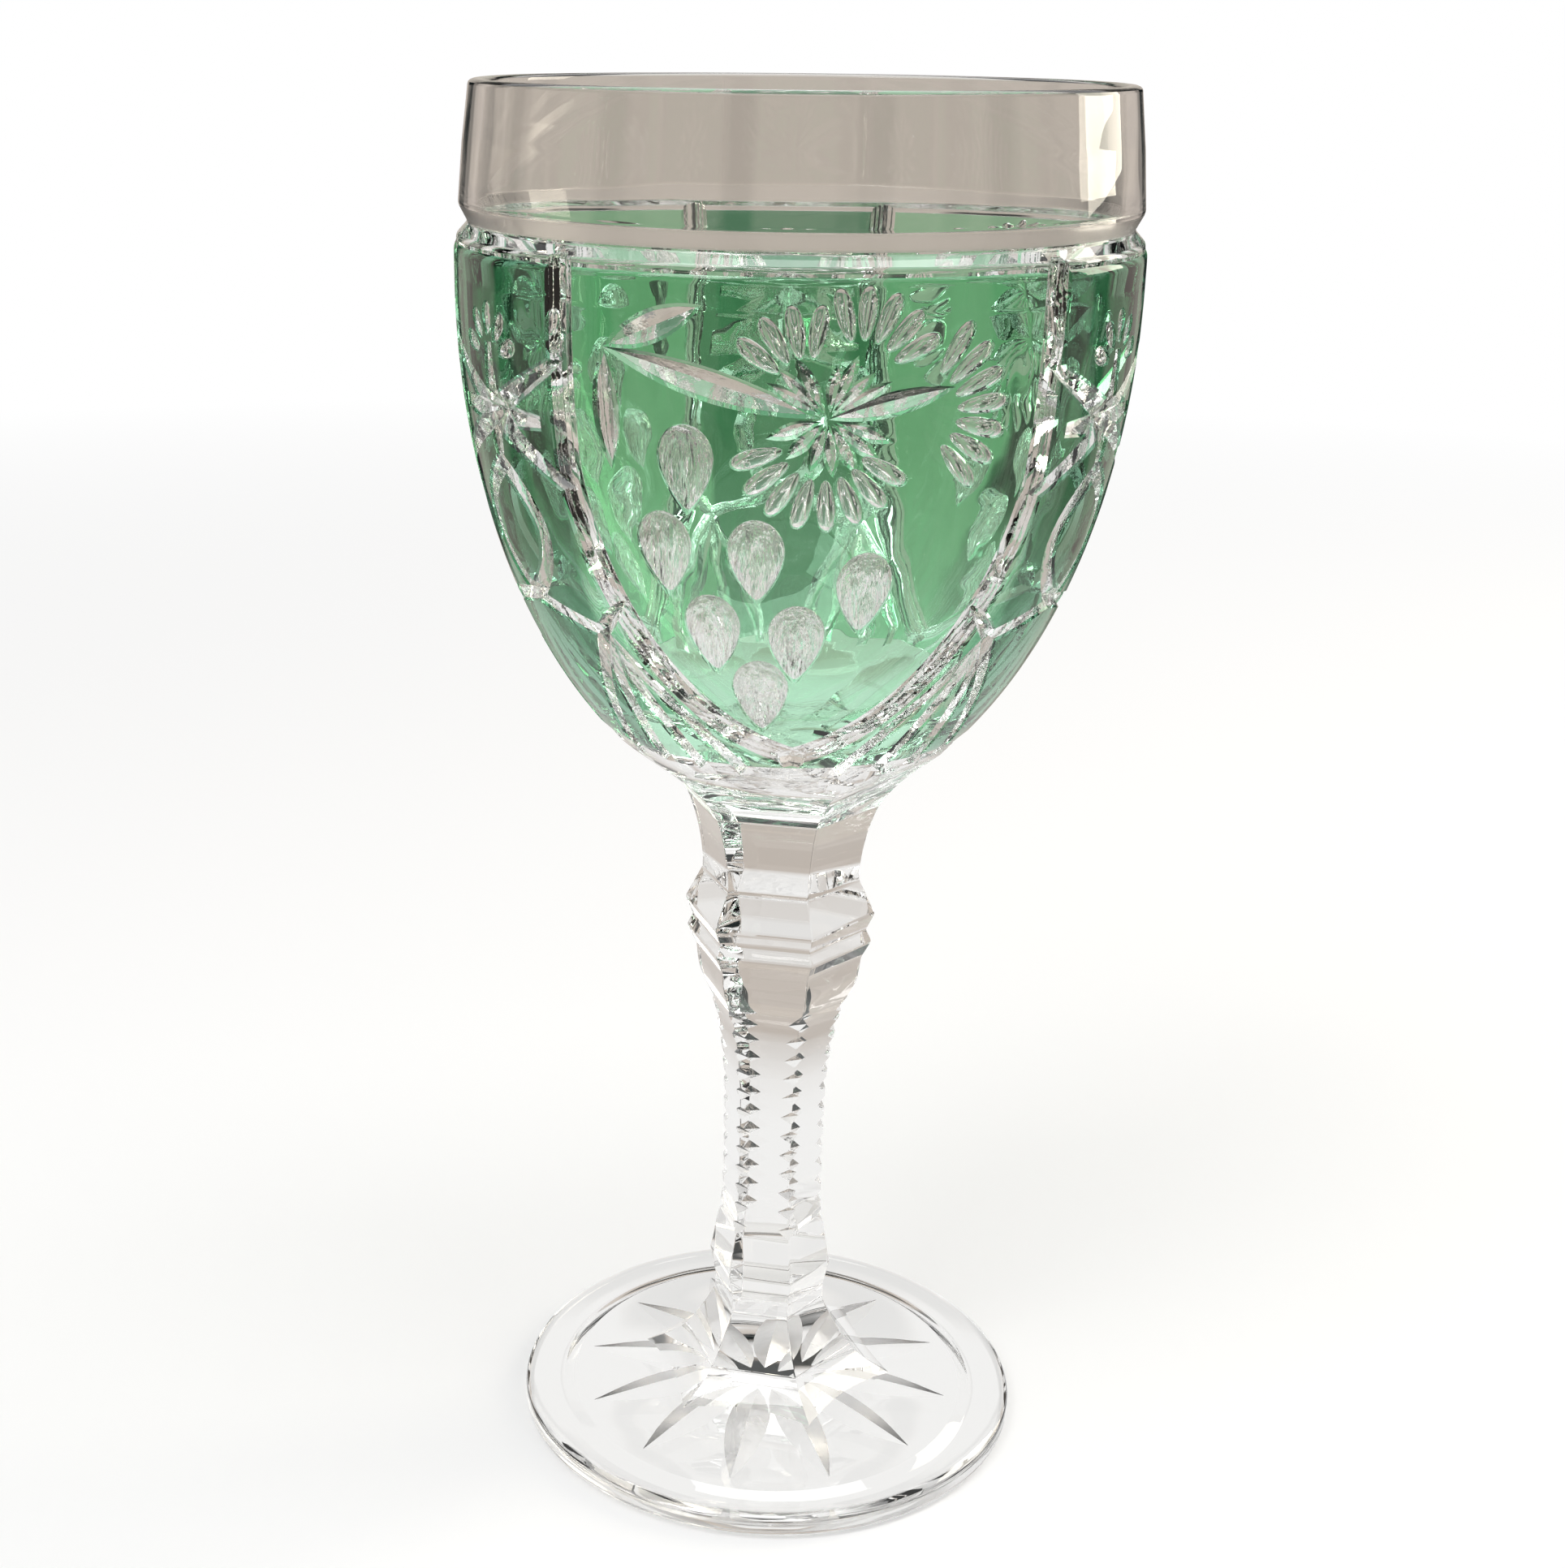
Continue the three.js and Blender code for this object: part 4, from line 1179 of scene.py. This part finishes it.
class GOBLET_OT_green_casing(bpy.types.Operator):
    """Makes the green casing and cuts it into its islands, each a piece of its own"""

    bl_idname = "goblet.green_casing"
    bl_label = "Green casing"

    def execute(self, context):
        bowl = chosen("bowl")
        piece = turned("casing", casing_profile(), bowl.segments, closed=True)
        give_finishes(piece, "green_glass", "bond")

        def fused(middle, normal):
            inner_side = middle.xy.length < body_radius(middle.z) - INNER_SIDE * bowl.casing
            return inner_side and abs(normal.z) < LEVEL

        set_finish(piece, 1, fused)
        combine(piece, bpy.data.objects[CUT_PATTERN], "DIFFERENCE", keep=True)
        for face in piece.data.polygons:
            if face.material_index > 1:
                face.material_index = 0
        while len(piece.data.materials) > 2:
            piece.data.materials.pop(index=2)
        smooth(piece)
        for node, chips in islands(piece).items():
            chips.sort(key=lambda chip: len(chip.data.vertices), reverse=True)
            island = joined(chips)
            island.name = island.data.name = "cut_" + node
            stand_for(island, "green_casing", node)
        return {"FINISHED"}


# Stem

SHAFT_SWELL = [
    # rise over the waist and gain in radius, in millimetres
    (0, 0), (11, 0.25), (18, 1.2), (22, 2.3), (25.5, 3.8), (28.9, 4.3),
]
WAIST_SWELL = 0.1 * MM
KNOP_SHOULDER = 0.8
STEM_SOFTNESS = 0.3 * MM
STEM_CREASE = 20
BEVELLED_FROM = math.radians(40)
NOTCH_REACH = 3.2


def stem_profile():
    """Radii and heights of the stem's corners, from the foot up to the bowl."""
    stem = chosen("stem")
    base, top = FOOT_TOP + stem.gap, GLASS_BASE - stem.gap
    neck_foot = stem.knop_height + stem.upper_neck_rise
    lower_knop_top = (stem.lower_neck, stem.lower_height + stem.lower_half)
    taper = bezier(
        (stem.base_radius, base),
        (stem.base_radius - stem.base_taper, (base + stem.lower_neck_height) / 2),
        (stem.lower_neck, stem.lower_neck_height),
        steps=8,
    )
    waist = spline([
        lower_knop_top,
        (stem.shaft_radius + WAIST_SWELL, stem.lower_height + 2 * stem.lower_half),
        (stem.shaft_radius, stem.shaft_middle),
    ], steps=4)
    shaft = spline([
        (stem.shaft_radius + gain * MM, stem.shaft_middle + rise * MM) for rise, gain in SHAFT_SWELL
    ], steps=5)
    neck = bezier(
        (stem.upper_neck, neck_foot),
        (stem.upper_neck, (neck_foot + top) / 2),
        (chosen("bowl").neck_radius, top),
        steps=12,
    )
    outline = soften([
        *taper,
        (stem.lower_neck, stem.lower_height - KNOP_SHOULDER * stem.lower_half),
        (stem.lower_knop, stem.lower_height),
        lower_knop_top,
        *waist[1:-1],
        *shaft,
        (stem.knop_radius - stem.crest_setback, stem.knop_height - stem.crest_fall),
        (stem.knop_radius - stem.knop_groove, stem.knop_height - stem.groove_fall),
        (stem.knop_radius, stem.knop_height),
        *neck,
    ], STEM_SOFTNESS, steps=2)
    return [(0, base), *outline, (0, top)]


def corner_radius(profile, height):
    for (r0, z0), (r1, z1) in zip(profile[1:], profile[2:]):
        if z0 <= height < z1:
            return r0 + (r1 - r0) * (height - z0) / (z1 - z0)
    raise ValueError("the stem has no ring at that height")


def notches(profile):
    """V cuts across the six edges of the shaft, as one cutter."""
    stem = chosen("stem")
    reach = NOTCH_REACH * stem.notch_depth
    cutters = []
    for side in range(SIDES):
        turn = math.radians(stem.turn + TURN_DEGREES / SIDES * (side + 0.5))
        outward = level_aim(turn)
        across = Vector((math.cos(turn), math.sin(turn), 0))
        for i in range(stem.notch_count):
            height = stem.first_notch + i * stem.notch_pitch
            corner = outward * corner_radius(profile, height) + Vector((0, 0, height))
            places = [corner + across * reach * step for step in (-1, 0, 1)]
            cutters.append(groove([(place, outward, stem.notch_half, stem.notch_depth) for place in places]))
    clear_bars()
    return joined(cutters)


class GOBLET_OT_stem(bpy.types.Operator):
    """Makes the six-sided stem with its knops and notched edges"""

    bl_idname = "goblet.stem"
    bl_label = "Stem"

    def execute(self, context):
        stem = chosen("stem")
        profile = stem_profile()
        piece = six_sided("stem_of_crystal", profile)
        give_finishes(piece, "clear_glass", "bond")
        apply(piece, "BEVEL", width=stem.edge_bevel, segments=2,
              limit_method="ANGLE", angle_limit=BEVELLED_FROM)
        combine(piece, notches(profile), "DIFFERENCE")
        ends = (FOOT_TOP + stem.gap, GLASS_BASE - stem.gap)
        set_finish(piece, 1, lambda middle, normal: min(abs(middle.z - end) for end in ends) < HAIR)
        smooth(piece, STEM_CREASE)
        stand_for(piece, "clear_crystal", "stem")
        return {"FINISHED"}


# Foot

FOOT_SHOULDER = 3 * MM
FOOT_SHOULDER_RISE = 0.12
FOOT_SOFTNESS = 0.5 * MM
FOOT_CREASE = 20
RAY_STATIONS = 11
RAY_SWELL = 0.85
RAY_END_SHARE = 0.04


def foot_profile():
    """Half section of the round foot, from its middle below to its middle above."""
    foot = chosen("foot")
    stem = chosen("stem")
    crown = foot.edge + foot.rise
    slope_top = foot.ring_inner - foot.hollow_slope
    shoulder = (foot.ring_outer - FOOT_SHOULDER, foot.edge + FOOT_SHOULDER_RISE * foot.rise)
    under = soften([
        (slope_top, foot.hollow),
        (foot.ring_inner, 0),
        (foot.ring_outer, 0),
        (FOOT_RADIUS, foot.edge_round),
        (FOOT_RADIUS, foot.edge - foot.edge_round),
        (foot.ring_outer, foot.edge),
        shoulder,
    ], FOOT_SOFTNESS, steps=4)
    over = spline([
        shoulder,
        ((foot.ring_outer + stem.base_radius) / 2, foot.edge + foot.rise / 3),
        (stem.base_radius - foot.core_setback, crown),
    ], steps=8)
    return [(0, foot.hollow), (slope_top - MM, foot.hollow), *under, *over[1:], (0, crown)]


def foot_flare():
    """The six sides that run out from the stem over the foot."""
    foot = chosen("foot")
    stem = chosen("stem")
    flare = bezier(
        (stem.base_radius, FOOT_TOP),
        (stem.base_radius + foot.core_setback, foot.edge + foot.rise),
        (foot.flare_radius, foot.edge),
        steps=14,
    )
    sides = six_sided("foot_flare", [(0, FOOT_TOP), *flare, (0, foot.edge)])
    give_finishes(sides, "clear_glass")
    return sides


def foot_star():
    """The star's rays as one cutter, each pointed at both ends and cut up into the hollow."""
    foot = chosen("foot")
    rays = []
    for i in range(foot.rays):
        aim = level_aim(math.radians(chosen("stem").turn) + TURN / foot.rays * i)
        stations = []
        for ring in range(RAY_STATIONS):
            part = ring / (RAY_STATIONS - 1)
            radius = foot.ray_inner + (foot.ray_outer - foot.ray_inner) * part
            full = max(RAY_END_SHARE, 1 - (2 * part ** RAY_SWELL - 1) ** 2)
            place = aim * radius + Vector((0, 0, foot.hollow))
            stations.append((place, Vector((0, 0, -1)), foot.ray_half * full, foot.ray_depth * full))
        rays.append(groove(stations, finish="soft_polish"))
    clear_bars()
    return union(rays)


class GOBLET_OT_foot(bpy.types.Operator):
    """Makes the round foot with its six-sided flare and the star under it"""

    bl_idname = "goblet.foot"
    bl_label = "Foot"

    def execute(self, context):
        piece = turned("foot_of_crystal", foot_profile(), chosen("bowl").segments)
        give_finishes(piece, "clear_glass", "bond")
        combine(piece, foot_flare(), "UNION")
        combine(piece, foot_star(), "DIFFERENCE")
        set_finish(piece, 1, lambda middle, normal: middle.z > FOOT_TOP - HAIR)
        smooth(piece, FOOT_CREASE)
        stand_for(piece, "clear_crystal", "foot")
        return {"FINISHED"}


# Stage

WHITE = (1, 1, 1)
NEAR_TABLE = (0.95, 0.95, 0.95)
TABLE_SHADE = (0.03, 0.035, 0.035)
ROOM_SHADE = (0.02, 0.025, 0.025)
ROOM_LIGHT = (0.4, 0.4, 0.4)
BARE_SHARE = 0.4
FLOOR_WIDTH = 12
FLOOR_GAP = 0.05 * MM
GLASS_BOUNCES = 24
GLOSS_BOUNCES = 7

# Where a change begins and ends: distances on the table in metres, and heights in the room
# as sines of the angle over the horizon
TABLE_DARKENS = (0.09, 0.3)
TABLE_UPRIGHTS = (0.2, 0.45)
TABLE_FADES = (0.1, 0.9)
FRIEZE_FOOT = (0.25, 0.29)
FRIEZE_TOP = (0.44, 0.39)
CEILING_EDGE = (0.39, 0.46)

UPRIGHTS = 8
UPRIGHT_EDGES = (-0.6, -0.85)
LAMPS_AIM = Vector((0, 0, 0.1))
LAMPS = [
    # name, place, width and height, watts, colour
    ("window", (-0.5, -0.55, 0.9), (0.5, 0.5), 3.1, WHITE),
    ("ceiling_light", (0.05, -0.2, 1.0), (1.1, 0.3), 4.6, WHITE),
    ("strip", (0.69, 0.31, 0.45), (0.36, 0.6), 3.4, (1, 0.93, 0.78)),
]


def uprights(x, y):
    """Dark uprights round the stage, which give the cuts their dark outlines."""
    azimuth = x.maths("ARCTAN2", y)
    return (azimuth * float(UPRIGHTS)).maths("COSINE").ramped(*UPRIGHT_EDGES)


def make_floor(recipe):
    """Pale floor. Glass and gloss see it darken with distance, as a table in a room does."""
    looks = chosen("looks")
    _, (x, y, _) = recipe.places()
    distance = (x * x + y * y) ** 0.5
    plain = recipe.colour_mix(distance.ramped(*TABLE_DARKENS), NEAR_TABLE, tuple(looks.far_table))
    dark = distance.ramped(*TABLE_UPRIGHTS) * uprights(x, y)
    seen = recipe.colour_mix(dark, plain, TABLE_SHADE)
    diffuse = recipe.node("BsdfDiffuse", Color=(*looks.table, 1)).outputs[0]
    white = recipe.node("Emission", Color=(*WHITE, 1), Strength=1.0).outputs[0]
    glow = recipe.node("Emission", Color=seen, Strength=1.0).outputs[0]
    camera, through = recipe.rays()
    bare = distance.ramped(*TABLE_FADES) * (1 - BARE_SHARE) + BARE_SHARE
    direct = recipe.node("MixShader", _0=bare, _1=diffuse, _2=white).outputs[0]
    others = recipe.node("MixShader", _0=through, _1=diffuse, _2=glow).outputs[0]
    recipe.finish(recipe.node("MixShader", _0=camera, _1=others, _2=direct).outputs[0])


def make_room(recipe):
    """White to the camera. Glass sees a beige wall, a dark frieze over it and a bright ceiling."""
    _, (x, y, z) = recipe.places("Generated")
    under_ceiling = z.ramped(*FRIEZE_TOP)
    dark = (z.ramped(*FRIEZE_FOOT) * under_ceiling + uprights(x, y) * under_ceiling).clamped()
    wall = recipe.colour_mix(z.ramped(*CEILING_EDGE), tuple(chosen("looks").room), WHITE)
    seen = recipe.colour_mix(dark, wall, ROOM_SHADE)
    camera, through = recipe.rays()
    plain = recipe.colour_mix(through, ROOM_LIGHT, seen)
    colour = recipe.colour_mix(camera, plain, WHITE)
    recipe.finish(recipe.node("Background", Color=colour, Strength=1.0).outputs[0], "OutputWorld")


def add_lamp(name, place, sides, watts, colour):
    bpy.ops.object.select_all(action="DESELECT")
    bpy.ops.object.light_add(type="AREA", location=place)
    lamp = bpy.context.object
    lamp.name = name
    lamp.rotation_euler = (LAMPS_AIM - Vector(place)).to_track_quat("-Z", "Y").to_euler()
    lamp.data.shape = "RECTANGLE"
    lamp.data.size, lamp.data.size_y = sides
    lamp.data.energy = watts
    lamp.data.color = colour


# The photograph's camera. Its angles are in radians.
CAMERA_DISTANCE = 276.42 * MM
CAMERA_HEIGHT = 186.48 * MM
CAMERA_PITCH = 0.3439
CAMERA_ROLL = 0.0099
CAMERA_YAW = -0.0552
CAMERA_FOCUS_PIXELS = 2740.2
CAMERA_CENTRE_PIXELS = (820.57, 1006.64)
PHOTO_PIXELS = (1928, 1932)
VIEW_TURN = math.radians(2.2)
SENSOR_WIDTH = 36
CLOSEST_SHOWN = 10 * MM


def add_camera():
    """The camera of the photograph: a long lens from a hand's height, looking down on the glass."""
    bpy.ops.object.select_all(action="DESELECT")
    bpy.ops.object.camera_add()
    camera = bpy.context.object
    turn = Matrix.Rotation(-CAMERA_YAW - VIEW_TURN, 4, "Z")
    pitch = Matrix.Rotation(math.pi / 2 - CAMERA_PITCH, 4, "X")
    roll = Matrix.Rotation(CAMERA_ROLL, 4, "Z")
    place = Matrix.Rotation(-VIEW_TURN, 4, "Z") @ Vector((0, -CAMERA_DISTANCE, CAMERA_HEIGHT))
    camera.matrix_world = Matrix.Translation(place) @ (turn @ pitch @ roll)
    long_side = max(PHOTO_PIXELS)
    camera.data.sensor_width = SENSOR_WIDTH
    camera.data.lens = CAMERA_FOCUS_PIXELS / long_side * SENSOR_WIDTH
    camera.data.shift_x = (PHOTO_PIXELS[0] / 2 - CAMERA_CENTRE_PIXELS[0]) / long_side
    camera.data.shift_y = (CAMERA_CENTRE_PIXELS[1] - PHOTO_PIXELS[1] / 2) / long_side
    camera.data.clip_start = CLOSEST_SHOWN
    bpy.context.scene.camera = camera


class GOBLET_OT_stage(bpy.types.Operator):
    """Makes the floor, the room, the lamps and the camera"""

    bl_idname = "goblet.stage"
    bl_label = "Stage"

    def execute(self, context):
        scene = context.scene
        bpy.ops.object.select_all(action="DESELECT")
        bpy.ops.mesh.primitive_plane_add(size=FLOOR_WIDTH, location=(0, 0, -FLOOR_GAP))
        floor = context.object
        floor.name = "floor"
        bpy.ops.object.transform_apply(location=True)
        floor.data.materials.append(material("pale_floor", make_floor))
        scene.world = bpy.data.worlds.new("pale_room")
        make_room(Recipe(scene.world))
        for lamp in LAMPS:
            add_lamp(*lamp)
        add_camera()
        scene.view_settings.view_transform = "Standard"
        for kind in ("max_bounces", "transmission_bounces", "transparent_max_bounces"):
            setattr(scene.cycles, kind, GLASS_BOUNCES)
        scene.cycles.glossy_bounces = GLOSS_BOUNCES
        return {"FINISHED"}


# Panel and registration

STEPS = ["cut_pattern", "crystal_bowl", "green_casing", "stem", "foot", "stage"]


class GOBLET_PT_panel(bpy.types.Panel):
    """Lists the steps and the sizes in the sidebar"""

    bl_label = "Goblet"
    bl_idname = "GOBLET_PT_panel"
    bl_space_type = "VIEW_3D"
    bl_region_type = "UI"
    bl_category = "Goblet"

    def draw(self, context):
        for step in STEPS:
            self.layout.operator("goblet." + step)
        for name, group in GROUPS.items():
            box = self.layout.box()
            for key in group.__annotations__:
                box.prop(getattr(context.scene, name), key)


CLASSES = [
    *GROUPS.values(),
    GOBLET_OT_cut_pattern,
    GOBLET_OT_crystal_bowl,
    GOBLET_OT_green_casing,
    GOBLET_OT_stem,
    GOBLET_OT_foot,
    GOBLET_OT_stage,
    GOBLET_PT_panel,
]


def register():
    for item in CLASSES:
        bpy.utils.register_class(item)
    for name, group in GROUPS.items():
        setattr(bpy.types.Scene, name, PointerProperty(type=group))


def unregister():
    for name in GROUPS:
        delattr(bpy.types.Scene, name)
    for item in reversed(CLASSES):
        bpy.utils.unregister_class(item)


def main():
    register()
    for step in STEPS:
        getattr(bpy.ops.goblet, step)()
    remove(bpy.data.objects[CUT_PATTERN])


if __name__ == "__main__":
    main()
